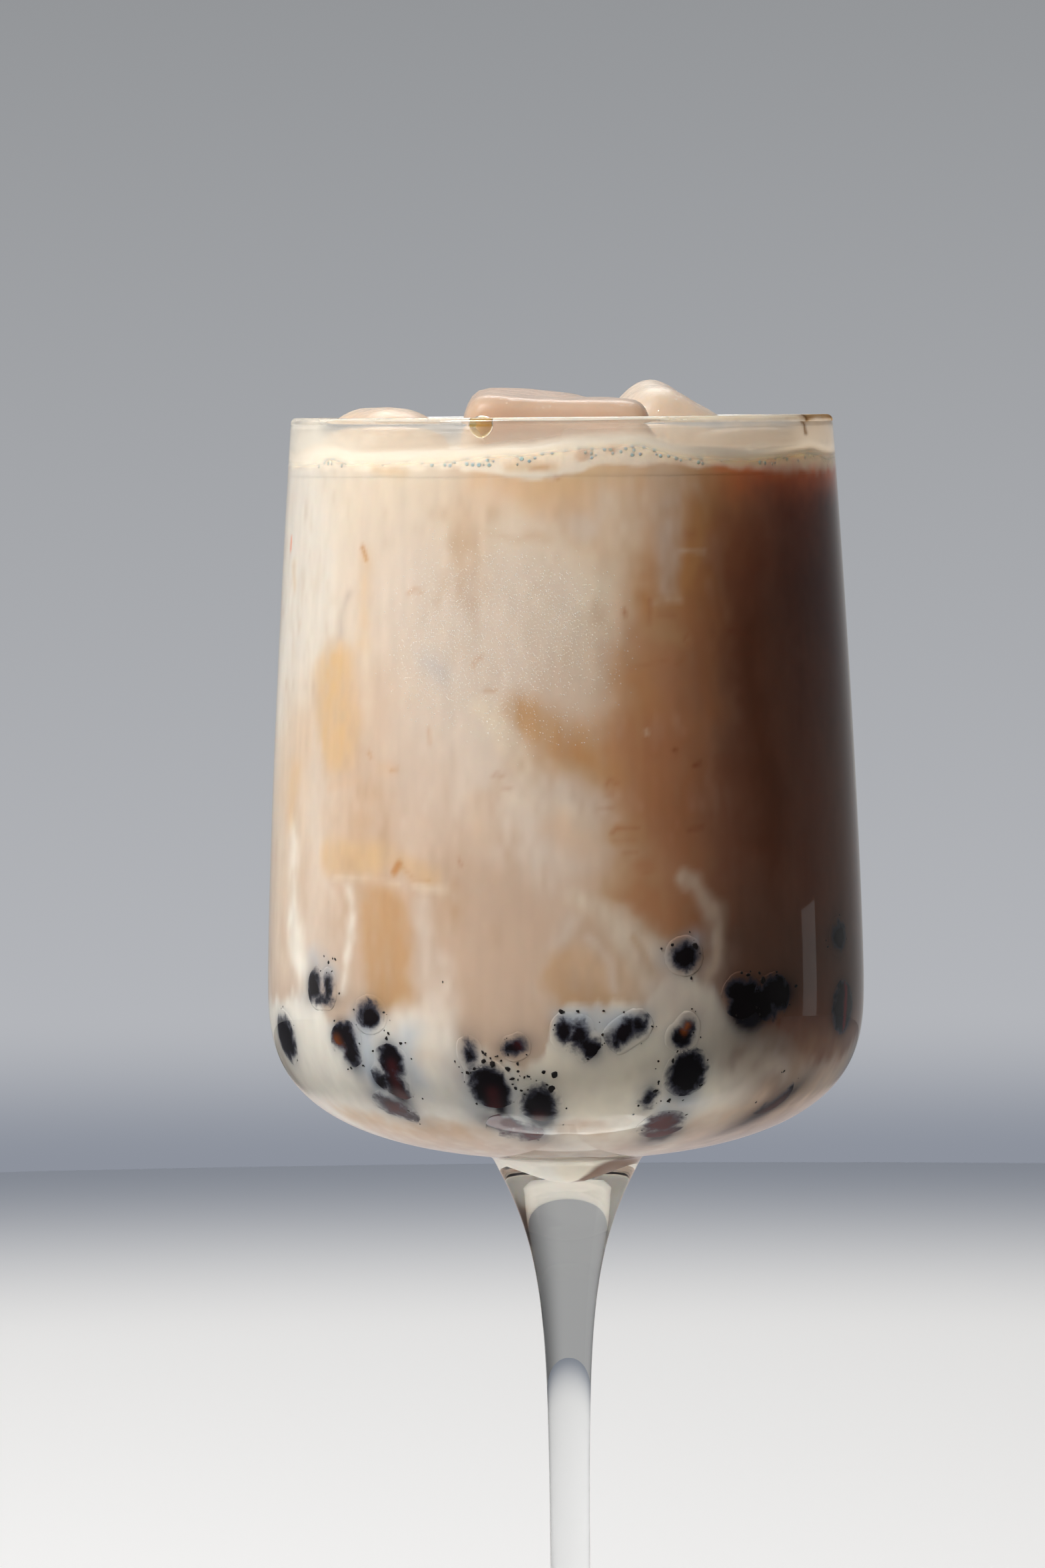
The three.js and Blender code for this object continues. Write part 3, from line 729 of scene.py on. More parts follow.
def shaded(tea, wall, past):
    """Milk thins to a bluish film towards a pearl, more in some places than in others."""
    ragged = haze(wall.points, 2.2, 12) * 0.7 + haze(wall.points, 0.9, 13) * 0.45
    film = np.exp(-np.maximum(past + ragged * 0.4, 0) / SHADE_REACH) * (0.72 + 0.25 * ragged)
    film = np.clip(film, 0, 1)[:, None]
    tea = tea * (1 - film) + tea * tint(BLUE_SHADE) * 1.25 * film
    under = eased((-past - ragged * 0.4) / 0.9)[:, None]
    return tea * (1 - under) + tint(PEARL_SHADOW) * under


fine = np.linspace(-FINE_SIDE, FINE_SIDE, FINE_COLUMNS, endpoint=False)
coarse = np.linspace(FINE_SIDE, 360 - FINE_SIDE, COARSE_COLUMNS, endpoint=False)
drink_points, drink_faces = turn_outline(drink_outline(), np.radians(np.concatenate([fine, coarse])))
wall = Wall(drink_points)
every_touch = [touch for pearl in pearls for touch in pearl[3]]
tea = shaded(brew(wall), wall, past_edge(wall, every_touch))


def painted(tree, name):
    """What the mesh's points carry under a name: its Color, or its Fac where it is a number."""
    return add_node(tree, "ShaderNodeAttribute", attribute_name=name, attribute_type="GEOMETRY").outputs


def ramp(tree, value, start=0.0, end=1.0, low=0.0, high=1.0, smooth=False):
    """A value carried over from start and end to low and high, and held there."""
    inputs = {"Value": value, "From Min": start, "From Max": end, "To Min": low, "To Max": high}
    kind = "SMOOTHSTEP" if smooth else "LINEAR"
    return add_node(tree, "ShaderNodeMapRange", inputs, interpolation_type=kind).outputs[0]


def blend(tree, share, first, second, kind="MIX"):
    inputs = {0: share, 6: first, 7: second}
    return add_node(tree, "ShaderNodeMix", inputs, data_type="RGBA", blend_type=kind).outputs[2]


def give_colours(piece, name, colours):
    layer = piece.data.color_attributes.new(name, "FLOAT_COLOR", "POINT")
    values = np.column_stack([colours, np.ones(len(colours))]).astype(np.float32)
    layer.data.foreach_set("color", values.ravel())


milk_tea, tree, shader = new_material(
    "milk_tea", Roughness=0.45, IOR=1.34, Subsurface_Weight=0.3, Subsurface_Scale=0.0015,
    Subsurface_Radius=(1.0, 0.62, 0.4), Specular_IOR_Level=0.15,
)
mottle = ramp(tree, noise(tree, 420.0, 4.0, (1, 1, 0.3), Roughness=0.6), low=0.93, high=1.06)
feed(shader, Base_Color=blend(tree, 1.0, painted(tree, "tea")["Color"], mottle, "MULTIPLY"))
drink = make_piece("milk_tea_drink", drink_points, drink_faces, milk_tea)
give_colours(drink, "tea", tea)
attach(drink, "root")
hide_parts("drink")

# Tapioca pearls: chewy balls boiled in brown syrup, nearly black, pressed flat on the wall.
# Milk creeps between a pearl and the glass, so each shows as a ragged dark patch, with
# maroon where it is thin and a pale veil over parts of it.
PEARL_PROUD = 0.03
PEARL_DIPS = 0.35
PEARL_SINKS = 0.5
PEARL_WIDER = 1.1
BALL_LEVELS = 4
NEARLY_BLACK = (20, 14, 17)
MAROON = (72, 26, 28)
DULL_MAROON = (84, 28, 32)
BLUE_SMOKE = (66, 68, 80)
SYRUP = (186, 98, 34)
RED_GLASS = (150, 14, 22)
SYRUP_SPOTS = [
    (SYRUP, 1, 1.2, 0.7, [(24.2, 122.7), (23.4, 122.2)]),
    (SYRUP, 0.35, 1.4, 1, [(-51, 120.4), (-50.4, 119.4)]),
    (RED_GLASS, 0.9, 0.7, 0.5, [(68.8, 126), (69, 120)]),
    (MAROON, 0.8, 1.6, 1, [(-36.8, 117), (-37.4, 112)]),
    (MAROON, 0.8, 1.4, 1.2, [(-15.6, 114), (-15, 111)]),
    (MAROON, 0.8, 1.6, 1.2, [(-5.6, 110.6), (-6, 108.6)]),
    (DULL_MAROON, 0.9, 4, 1.4, [(22.5, 109.4), (25, 107.6)]),
    (DULL_MAROON, 0.9, 4, 1.4, [(-17, 109.4), (-8, 107.8)]),
    (DULL_MAROON, 0.8, 2.6, 1.6, [(-42, 111), (-37, 111.6)]),
    (MAROON, 0.8, 1.6, 1, [(51, 110), (54, 111.6)]),
    (MAROON, 0.7, 1.2, 1, [(-9.6, 120.3), (-9, 120)]),
]


def wall_frame(degrees, up):
    """Point on the bowl's inner wall, and the directions out, round and up the wall there."""
    heights = np.array([up + 0.3, up, up - 0.3])
    share = np.clip((BELLY_HEIGHT - heights) / (BOWL_DEPTH_BELOW_BELLY - WALL_AT_BOTTOM), 0, 0.999)
    low = (BELLY_RADIUS - WALL_AT_BELLY) * (1 - share**CURVE_DOWN) ** (1 / CURVE_ACROSS)
    radii = np.where(heights < BELLY_HEIGHT, low, inside_radius(heights))
    turn = math.radians(degrees)
    out = np.array([math.sin(turn), -math.cos(turn), -(radii[0] - radii[2]) / 0.6])
    out /= np.linalg.norm(out)
    around = np.array([math.cos(turn), math.sin(turn), 0])
    point = np.array([radii[1] * math.sin(turn), -radii[1] * math.cos(turn), up])
    return point, out, around, np.cross(around, -out)


def past_wall(points):
    """How far points lie outside the bowl's inner wall, in mm."""
    outline = respaced(inner_outline(150, 0), 0.4)
    radius = np.hypot(points[:, 0], points[:, 1])
    gaps = np.hypot(radius[:, None] - outline[:, 0], points[:, 2, None] - outline[:, 1])
    nearest = np.argmin(gaps, axis=1)
    steps = np.gradient(outline, axis=0)
    steps /= np.linalg.norm(steps, axis=1)[:, None]
    aside = radius - outline[nearest, 0]
    rise = points[:, 2] - outline[nearest, 1]
    return aside * steps[nearest, 1] - rise * steps[nearest, 0]


def round_ball(levels):
    """Points and faces of a ball of radius 1."""
    shape = bmesh.new()
    bmesh.ops.create_icosphere(shape, subdivisions=levels, radius=1)
    points = np.array([v.co for v in shape.verts])
    faces = [[v.index for v in f.verts] for f in shape.faces]
    shape.free()
    return points, faces


ball_points, ball_faces = round_ball(BALL_LEVELS)
pearl_points, pearl_faces, pearl_past = [], [], []
for number, (turn, up, radius, touches) in enumerate(pearls):
    wall_point, out, around, above = wall_frame(turn, up)
    middle = wall_point - out * radius * PEARL_SINKS
    lumps = 1 + haze(ball_points * 2 + number, 1, 20) * 0.06 + haze(ball_points * 6 + number, 1, 21) * 0.03
    ball = ball_points * radius * lumps[:, None]
    points = middle + ball @ np.array([around * PEARL_WIDER, out, above * PEARL_WIDER])
    past = past_edge(Wall(points), touches)
    for _ in range(2):
        reach = SKIN_IN_WALL + PEARL_PROUD - PEARL_DIPS * eased((past - 1.0) / 0.8)
        proud = past_wall(points) - reach
        pressed = eased((1.5 - past) / 0.6) * (ball_points[:, 1] > 0.05)
        points -= (np.maximum(proud, 0) + np.minimum(proud, 0) * pressed)[:, None] * out
        past = past_edge(Wall(points), touches)
    pearl_faces += [[v + number * len(ball_points) for v in f] for f in ball_faces]
    pearl_points.append(points)
    pearl_past.append(past)
pearl_points = np.vstack(pearl_points)
pearl_past = np.concatenate(pearl_past)
pearl_wall = Wall(pearl_points)
milk_round = shaded(brew(pearl_wall), pearl_wall, past_edge(pearl_wall, every_touch))
core = pearl_wall.brush(np.tile(tint(NEARLY_BLACK), (len(pearl_points), 1)), SYRUP_SPOTS)


def reckon(tree, kind, first, second):
    return add_node(tree, "ShaderNodeMath", {0: first, 1: second}, operation=kind).outputs[0]


def give_values(piece, name, values):
    layer = piece.data.attributes.new(name, "FLOAT", "POINT")
    layer.data.foreach_set("value", np.asarray(values, np.float32))


pearl_skin, tree, shader = new_material("tapioca", Roughness=0.3, IOR=1.42, Specular_IOR_Level=0.1)
creep = noise(tree, 520.0, 5.0, Roughness=0.6, Distortion=0.4)
edge = reckon(tree, "ADD", painted(tree, "past")["Fac"], ramp(tree, creep, 0.25, 0.75, -0.8, 0.8))
thin_veil = ramp(tree, edge, -0.6, 0.25)
rim = blend(tree, thin_veil, painted(tree, "core")["Color"], rgba(BLUE_SMOKE))
milky = ramp(tree, edge, -0.35, 0.75, smooth=True)
feed(shader, Base_Color=blend(tree, milky, rim, painted(tree, "milk_round")["Color"]))

pearl_heap = make_piece("tapioca_pearls", pearl_points, pearl_faces, pearl_skin)
give_values(pearl_heap, "past", pearl_past)
give_colours(pearl_heap, "milk_round", milk_round)
give_colours(pearl_heap, "core", core)
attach(pearl_heap, "root")
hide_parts(*PEARL_NODES)

# Crumbs of tapioca: bits rubbed off the pearls while stirring, from a tenth of a millimetre to
# over half a millimetre, that cling to the glass round them. Angle, height and radius of each.
CRUMBS = [
    (-54.4, 131.1, 0.14), (-52.9, 130.3, 0.2), (-51.6, 130.9, 0.14), (-50.8, 130.8, 0.25),
    (-44.5, 119.6, 0.14), (-37.8, 121.6, 0.12), (-37.4, 120.5, 0.26), (-36.8, 121.2, 0.24),
    (-34.1, 120, 0.2), (-33, 120.1, 0.14), (-24.5, 128.5, 0.13), (-21.2, 115.2, 0.12),
    (-20.2, 116.4, 0.3), (-19.6, 116.4, 0.15), (-18.7, 117, 0.2), (-16.7, 118, 0.37),
    (-16.7, 119.2, 0.25), (-14.9, 117.6, 0.4), (-13.8, 118.7, 0.14), (-13.1, 118.1, 0.15),
    (-11.9, 117, 0.35), (-11.3, 115.7, 0.3), (-11.2, 115, 0.15), (-10.7, 114.5, 0.22),
    (-9.9, 116.7, 0.2), (-9.6, 114.2, 0.2), (-9.6, 116.1, 0.12), (-8.7, 115.9, 0.18),
    (-8.2, 114.3, 0.14), (-7.8, 116, 0.15), (-6.4, 115.5, 0.1), (-4.8, 116.6, 0.26), (-4.3, 115, 0.2),
    (-3.4, 114.4, 0.55), (-2.7, 116.3, 0.5), (-1.3, 124.7, 0.3), (-0.4, 111.9, 0.16), (1.9, 124.7, 0.26),
    (6.6, 121.5, 0.2), (6.8, 124.7, 0.15), (10.7, 124.5, 0.13), (17.4, 116.8, 0.1), (17.8, 117.8, 0.2),
    (18.2, 113.9, 0.3), (20.5, 133.4, 0.24), (20.8, 117.7, 0.3), (21.7, 112.6, 0.3), (22.8, 111.1, 0.15),
    (24.8, 121.4, 0.15), (25.2, 133.1, 0.4), (35.5, 129.1, 0.2), (37.1, 128.8, 0.3), (39.9, 128.9, 0.2),
    (40.7, 127.9, 0.5), (44.4, 128.4, 0.25), (46.5, 127.8, 0.2), (49.9, 126.7, 0.3),
]
CRUMBS_PER_PEARL = 5
CRUMB_STANDS = 0.12
LOWEST_CRUMB = 104
CRUMB_TONE = (34, 28, 26)

bits = list(CRUMBS)
for turn, up, radius, touches in pearls:
    for _ in range(CRUMBS_PER_PEARL):
        away, side = radius * chance.uniform(0.75, 1.3), chance.uniform(0, 2 * math.pi)
        spot = turn + away * math.cos(side) / 0.7, up + away * math.sin(side)
        bits.append((*spot, chance.uniform(0.07, 0.2)))
small_ball, small_faces = round_ball(2)
crumb_points, crumb_faces = [], []
for turn, up, size in bits:
    wall_point, out, around, above = wall_frame(turn, max(up, LOWEST_CRUMB))
    lean = chance.uniform(0, math.pi)
    along = around * math.cos(lean) + above * math.sin(lean)
    over = above * math.cos(lean) - around * math.sin(lean)
    rough = 1 + haze(small_ball * 1.4 + size * 90 + turn, 1, 22) * 0.45
    shape = small_ball * rough[:, None] * size * [chance.uniform(0.9, 1.3), 1, chance.uniform(0.6, 1)]
    shape = np.column_stack([shape[:, 0], np.clip(shape[:, 1], -size, CRUMB_STANDS), shape[:, 2]])
    crumb_faces += [[v + len(crumb_points) * len(small_ball) for v in f] for f in small_faces]
    crumb_points.append(wall_point + out * SKIN_IN_WALL + shape @ np.array([along, out, over]))
crumb_skin = new_material(
    "tapioca_crumbs", Base_Color=rgba(CRUMB_TONE), Roughness=0.4, Specular_IOR_Level=0.2
)[0]
crumbs = make_piece("tapioca_crumbs", np.vstack(crumb_points), crumb_faces, crumb_skin)
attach(crumbs, "root")

# The foam: a thin skin of milk froth, three to four millimetres deep, which climbs the glass
# at the front and is stained tan where coffee lies below it; on the right that tan is painted
# paler, as painted light through the froth. Its lower edge runs ragged into the drink, whose
# colours it carries there, and small bubbles stand all over it.
FOAM_LEVEL = 200.1
FOAM_BOTTOM = 196.5
FOAM_ROUND = 0.5
FOAM_SIDES = 420
FROTHY_FROM, FROTHY_TO = 197.6, 199.4
FOAM_AT_WALL = [
    (-180, 200.2), (-90, 200.3), (-76, 199.3), (-64, 200.8), (-56, 200.6), (-50, 199.9), (-35, 200.1),
    (-20, 200.5), (-6, 201), (0.5, 201.7), (12, 202.1), (17, 202), (23, 200.7), (36, 200.2), (43, 199.8),
    (64, 200.9), (74, 200), (90, 200.3), (180, 200.2),
]


def foam_top(points):
    """Height of the foam: slow waves in the middle, the glass's own line at the wall."""
    x, y = points[:, 0], points[:, 1]
    wave = np.sin(x * 0.31 + 0.6) * np.cos(y * 0.27) + 0.5 * np.sin(0.52 * y - 0.4 * x)
    at_wall = np.interp(angle_of(points), *np.transpose(FOAM_AT_WALL))
    nearness = eased(1 - (float(inside_radius(FOAM_LEVEL)) - np.hypot(x, y)) / 7)
    return (FOAM_LEVEL + 0.2 * wave) * (1 - nearness) + at_wall * nearness


def foam_outline():
    heights = np.linspace(FOAM_BOTTOM, FOAM_LEVEL - FOAM_ROUND, 15)
    leaves_drink = np.interp(heights, [FOAM_BOTTOM, FOAM_BOTTOM + 0.6], [-0.03, 0.02])
    side = np.column_stack([inside_radius(heights) + SKIN_IN_WALL + leaves_drink, heights])
    turns = np.radians(np.linspace(15, 90, 6))
    inward = side[-1, 0] - 0.6 * FOAM_ROUND * (1 - np.cos(turns))
    shoulder = np.column_stack([inward, FOAM_LEVEL - FOAM_ROUND * (1 - np.sin(turns))])
    rings = np.linspace(inward[-1] - 0.35, 0, 80)
    floor = [[0, FOAM_BOTTOM], [side[0, 0] - 0.8, FOAM_BOTTOM]]
    return np.vstack([floor, side, shoulder, np.column_stack([rings, np.full(80, FOAM_LEVEL)])])


foam_points, foam_faces = turn_outline(foam_outline(), full_turn(FOAM_SIDES))
lift = foam_top(foam_points) - FOAM_LEVEL
share = np.clip((foam_points[:, 2] - FOAM_BOTTOM) / (FOAM_LEVEL - FOAM_BOTTOM), 0, 1)
froth_lumps = haze(foam_points, 3, 30) * 0.22 + haze(foam_points, 1.1, 31) * 0.08
foam_points[:, 2] += share * (lift + froth_lumps)
reach = inside_radius(foam_points[:, 2]) + SKIN_IN_WALL + 0.02
beyond = np.maximum(np.hypot(foam_points[:, 0], foam_points[:, 1]) / reach, 1)
foam_points[:, :2] /= beyond[:, None]

milk_foam, tree, shader = new_material(
    "milk_foam", Roughness=0.45, IOR=1.34, Subsurface_Scale=0.0035, Subsurface_Radius=(1.0, 0.8, 0.6),
    Specular_IOR_Level=0.15,
)
froth_height = add_node(tree, "ShaderNodeSeparateXYZ", {0: object_place(tree)}).outputs["Z"]
frothy = ramp(tree, froth_height, FROTHY_FROM * MM, FROTHY_TO * MM)
cells = add_node(tree, "ShaderNodeTexVoronoi", {"Vector": object_place(tree), "Scale": 1700.0})
pores = ramp(tree, cells.outputs["Distance"], low=1.03, high=0.93)
foam_tone = blend(tree, frothy, painted(tree, "froth")["Color"], pores, "MULTIPLY")
feed(shader, Base_Color=foam_tone, Subsurface_Weight=ramp(tree, frothy, low=0.25, high=0.9))

foam = make_piece("milk_foam_skin", foam_points, foam_faces, milk_foam)
give_colours(foam, "froth", brew(Wall(foam_points)))
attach(foam, "root")
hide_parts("foam")

# Bubbles in the foam: thin-walled domes a few tenths of a millimetre wide, crowded along the
# glass and scattered over the top. They are strewn on the foam by Geometry Nodes.
BUBBLE_SPACING, BUBBLE_DENSITY = 0.55, 3.2
BUBBLE_RADII = 0.16, 0.32
BUBBLES_ON_TOP = 0.12
BUBBLES_STAND = 0.12
WALL_BAND_FROM = 36.2
DOME_NUMBERS = ("Spacing", "Density", "Smallest", "Largest", "Stands")
DOME_COUNTS = ("Detail", "Seed")


def strewn_domes(finish):
    """A node tree that strews half-sunk domes over a surface and gives them a material."""
    tree = bpy.data.node_groups.new("strewn_domes", "GeometryNodeTree")
    wanted = [("Surface", "Geometry"), *((name, "Float") for name in DOME_NUMBERS)]
    for name, kind in [*wanted, *((name, "Int") for name in DOME_COUNTS)]:
        tree.interface.new_socket(name, in_out="INPUT", socket_type="NodeSocket" + kind)
    tree.interface.new_socket("Domes", in_out="OUTPUT", socket_type="NodeSocketGeometry")
    given = add_node(tree, "NodeGroupInput").outputs
    crowd = add_node(tree, "GeometryNodeInputNamedAttribute", {"Name": "crowd"})
    spread = {
        "Mesh": given["Surface"], "Distance Min": given["Spacing"], "Density Max": given["Density"],
        "Density Factor": crowd.outputs[0], "Seed": given["Seed"],
    }
    spots = add_node(
        tree, "GeometryNodeDistributePointsOnFaces", spread, distribute_method="POISSON"
    ).outputs
    span = {2: given["Smallest"], 3: given["Largest"], "Seed": given["Seed"]}
    radius = add_node(tree, "FunctionNodeRandomValue", span)
    upright = add_node(tree, "ShaderNodeCombineXYZ", {0: 1.0, 1: 1.0, 2: given["Stands"]})
    size = add_node(
        tree, "ShaderNodeVectorMath", {0: upright.outputs[0], "Scale": radius.outputs[1]}, operation="SCALE"
    )
    ball = add_node(tree, "GeometryNodeMeshIcoSphere", {"Radius": 1.0, "Subdivisions": given["Detail"]})
    position = add_node(tree, "GeometryNodeInputPosition")
    rise = add_node(tree, "ShaderNodeSeparateXYZ", {0: position.outputs[0]}).outputs["Z"]
    marks = {"Geometry": ball.outputs["Mesh"], "Name": "rise", "Value": rise}
    marked = add_node(tree, "GeometryNodeStoreNamedAttribute", marks)
    smooth = add_node(tree, "GeometryNodeSetShadeSmooth", {0: marked.outputs[0]})
    copies = {
        "Points": spots["Points"], "Instance": smooth.outputs[0], "Rotation": spots["Rotation"],
        "Scale": size.outputs[0],
    }
    domes = add_node(tree, "GeometryNodeInstanceOnPoints", copies)
    real = add_node(tree, "GeometryNodeRealizeInstances", {0: domes.outputs[0]})
    made_of = add_node(tree, "GeometryNodeSetMaterial", {0: real.outputs[0], "Material": finish})
    add_node(tree, "NodeGroupOutput", {0: made_of.outputs[0]})
    return tree


def strew(name, surface, finish, **settings):
    """A piece of domes strewn over a surface, which is left out of it."""
    tree = strewn_domes(finish)
    modifier = surface.modifiers.new("strewn", "NODES")
    modifier.node_group = tree
    for socket in tree.interface.items_tree:
        if socket.in_out == "INPUT" and socket.name in settings:
            modifier[socket.identifier] = settings[socket.name]
    graph = bpy.context.evaluated_depsgraph_get()
    domes = bpy.data.meshes.new_from_object(surface.evaluated_get(graph))
    surface.modifiers.remove(modifier)
    domes.name = name
    piece = bpy.data.objects.new(name, domes)
    bpy.context.scene.collection.objects.link(piece)
    return piece


on_wall = np.hypot(foam_points[:, 0], foam_points[:, 1]) > WALL_BAND_FROM
clusters = 0.75 + 0.5 * haze(foam_points, 4, 35)
above_edge = foam_points[:, 2] - froth_edge(foam_points)
below_top = foam_top(foam_points) - foam_points[:, 2]
banded = eased(above_edge / 0.8) * eased((below_top - 0.7) / 0.3) * eased((2.6 - below_top) / 0.9)
give_values(foam, "crowd", np.clip(np.where(on_wall, banded * clusters, BUBBLES_ON_TOP), 0, 1))
bubble_film, tree, shader = new_material(
    "bubble_film", Roughness=0.6, IOR=1.34, Subsurface_Weight=0.6, Subsurface_Scale=0.0025,
    Specular_IOR_Level=0.1,
)
hollow = ramp(tree, painted(tree, "rise")["Fac"], 0.6, 0.85)
ring_tone = ramp(tree, hollow, low=1.1, high=0.84)
feed(shader, Base_Color=blend(tree, 1.0, painted(tree, "froth")["Color"], ring_tone, "MULTIPLY"))
bubbles = strew(
    "foam_bubbles", foam, bubble_film, Spacing=BUBBLE_SPACING * MM, Density=BUBBLE_DENSITY / MM**2,
    Smallest=BUBBLE_RADII[0] * MM, Largest=BUBBLE_RADII[1] * MM, Stands=BUBBLES_STAND, Detail=2, Seed=5,
)
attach(bubbles, "root")

# Ice: four half-melted blocks floating in the drink, cloudy inside and stained by the
# coffee, wet on top. Each lies where its block in the frame does, and is a rounded box with a
# few shallow hollows, where it has melted.
ICE = {
    # half sizes, lean to the right, turn about the upright, squareness, tone, taper at the right
    "ice_left": ((9.9, 11.5, 12), 9, 10, 2.6, (234, 206, 180), 0.1),
    "ice_centre": ((15.2, 11, 12.3), 5, -3, 9, (208, 179, 157), 0.34),
    "ice_back": ((9.8, 8.6, 10.6), 38, 8, 3.4, (232, 211, 191), 0.0),
    "ice_right": ((8.4, 8.2, 11), -3, -10, 3.2, (238, 216, 196), 0.0),
}
ICE_MELT = 0.035
ICE_WEAR = 0.28
ICE_LEVELS = 5


def turned(points, lean, yaw):
    """Points leaned to the right and then turned about the upright, in degrees."""
    x, y, z = points.T
    c, s = math.cos(math.radians(lean)), math.sin(math.radians(lean))
    x, z = x * c + z * s, z * c - x * s
    c, s = math.cos(math.radians(yaw)), math.sin(math.radians(yaw))
    return np.column_stack([x * c - y * s, x * s + y * c, z])


def ice_material(name, tone):
    material, tree, shader = new_material(
        name, Roughness=0.35, IOR=1.31, Subsurface_Weight=1.0, Subsurface_Scale=0.009,
        Subsurface_Radius=(1.0, 0.8, 0.6), Transmission_Weight=0.12, Coat_Weight=0.35,
        Coat_Roughness=0.03, Coat_IOR=1.33,
    )
    deep, pale = (*(tint(tone) * 0.8), 1), (*np.minimum(tint(tone) * 1.18, 1), 1)
    wet = bump(tree, noise(tree, 620.0, 3.0), 1.0, 0.001)
    feed(shader, Base_Color=blend(tree, noise(tree, 130.0, 5.0), deep, pale), Coat_Normal=wet)
    return material


ice_ball, ice_faces = round_ball(ICE_LEVELS)
for node, (half, lean, yaw, corner, tone, taper) in ICE.items():
    low, high = (np.array(bound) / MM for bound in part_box(node))
    x, y, z = ice_ball.T
    melted = 1 + ICE_MELT * np.sin(3 * x + half[0]) * np.cos(4 * y - 2 * z)
    squared = melted / np.sum(np.abs(ice_ball) ** corner, axis=1) ** (1 / corner)
    shape = ice_ball * squared[:, None]
    shape[:, 0] *= 1 - taper * eased(shape[:, 2] * 0.8 + 0.2) * (shape[:, 0] > 0)
    block_points = turned(shape * half, lean, yaw)
    block_points += (low + high) / 2 - (block_points.min(0) + block_points.max(0)) / 2
    hollows = haze(block_points, 6, 40) + haze(block_points, 1.9, 41) * 0.3
    outward = block_points - (low + high) / 2
    outward /= np.linalg.norm(outward, axis=1)[:, None]
    block_points += outward * (hollows * ICE_WEAR)[:, None]
    block = make_piece(node + "_block", block_points, ice_faces, ice_material(node + "_cloudy", tone))
    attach(block, "root")
    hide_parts(node)

# Traces on the glass above the drink: a thin film of milk round the wall, the froth's own
# thin rim, and a brown smear of dried coffee over the lip at the right, with a run below it.
# They are one skin just in the glass, from the froth over the lip, that thins out to nothing.
FILM = (236, 216, 194)
SMEAR = (186, 154, 110)
SMEAR_DARK = (134, 98, 56)
TRACES_FROM = 197.8
TRACES_IN_WALL = 0.28
TRACES_SIDES = 480
SMEAR_STANDS = 0.03
# Colour, strength, width, softness, path
TRACES = [
    (FILM, 0.6, 4, 2.5, [(-74, 201.5), (-22, 201.5)]),
    (FILM, 0.3, 3, 2, [(-18, 202), (22, 203)]),
    (MILK, 0.85, 5.5, 3, [(-100, 202), (-72, 201), (-64, 201)]),
    (MILK, 0.5, 3, 2.5, [(-64, 202.5), (-50, 201)]),
    (CREAM, 0.3, 2, 2.5, [(-50, 201), (-30, 200.5)]),
    (FILM, 0.9, 4.5, 2, [(26, 201.2), (40, 201.6), (60, 202), (84, 202)]),
    (CREAM, 0.45, 2, 2, [(56, 200.8), (84, 201.5), (120, 201)]),
    (CREAM, 0.25, 3, 3, [(130, 201), (180, 201.5), (-130, 201)]),
    (SMEAR, 0.35, 1, 0.6, [(22, 205), (62, 205)]),
    (SMEAR, 0.95, 1.8, 0.5, [(63.5, 204.8), (72, 204.9), (88, 204.7), (98, 204.9)]),
    (SMEAR_DARK, 0.95, 0.9, 0.4, [(62.8, 205.2), (63, 203.2), (63.4, 202)]),
    (SMEAR_DARK, 0.6, 0.7, 0.4, [(82, 204.8), (82.5, 203.9)]),
]
FROTH_RIM = (FROTH, 0.82, 1.6, 0.5, [(turn, up - 0.2) for turn, up in FOAM_AT_WALL])

traces_rise = np.linspace(TRACES_FROM, RIM_HEIGHT - 1.5, 32)
up_wall = np.column_stack([inside_radius(traces_rise) + TRACES_IN_WALL, traces_rise])
over_lip = arc(RIM_RADIUS - LIP_RADIUS, RIM_HEIGHT - LIP_RADIUS, LIP_RADIUS + SMEAR_STANDS, 195, -10, 18)
traces_outline = np.vstack([up_wall, over_lip])
traces_points = sweep(traces_outline, full_turn(TRACES_SIDES))
traces_wall = Wall(traces_points)
thickness = np.zeros(len(traces_points))
traces_colour = np.tile(tint(MILK), (len(traces_points), 1))
for colour, strength, width, soft, path in (*TRACES, FROTH_RIM):
    laid = traces_wall.near(path, width, soft, 0.9 if colour is FROTH else 0.0) * strength
    traces_colour = coat(traces_colour, laid, colour)
    thickness = 1 - (1 - thickness) * (1 - laid)
thickness *= eased((traces_points[:, 2] - TRACES_FROM) / 1.2)
# Where room light comes through the film from behind rather than back from its front
over_line = traces_wall.height - np.interp(traces_wall.angle, *np.transpose(FOAM_AT_WALL))
at_right = eased((traces_wall.angle - 40) / 25) * eased((150 - traces_wall.angle) / 30)
backlit = np.maximum(0.45 * eased((over_line - 0.1) / 0.6), 0.8 * at_right * eased((over_line + 0.9) / 0.6))

thin_film, tree, shader = new_material("thin_film", Roughness=0.4, IOR=1.34)
stain, cover = painted(tree, "stain")["Color"], painted(tree, "cover")["Fac"]
feed(shader, Base_Color=stain, Alpha=cover)
clear = add_node(tree, "ShaderNodeBsdfTransparent")
sheer = mix_shaders(tree, cover, clear, add_node(tree, "ShaderNodeBsdfTranslucent", {"Color": stain}))
film = mix_shaders(tree, painted(tree, "backlit")["Fac"], shader, sheer)
let_lamps_through(tree, film, (1, 1, 1, 1))
traces = make_piece("traces_on_glass", traces_points, net(len(traces_outline), TRACES_SIDES), thin_film)
give_colours(traces, "stain", traces_colour)
give_values(traces, "cover", thickness)
give_values(traces, "backlit", backlit)
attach(traces, "root")

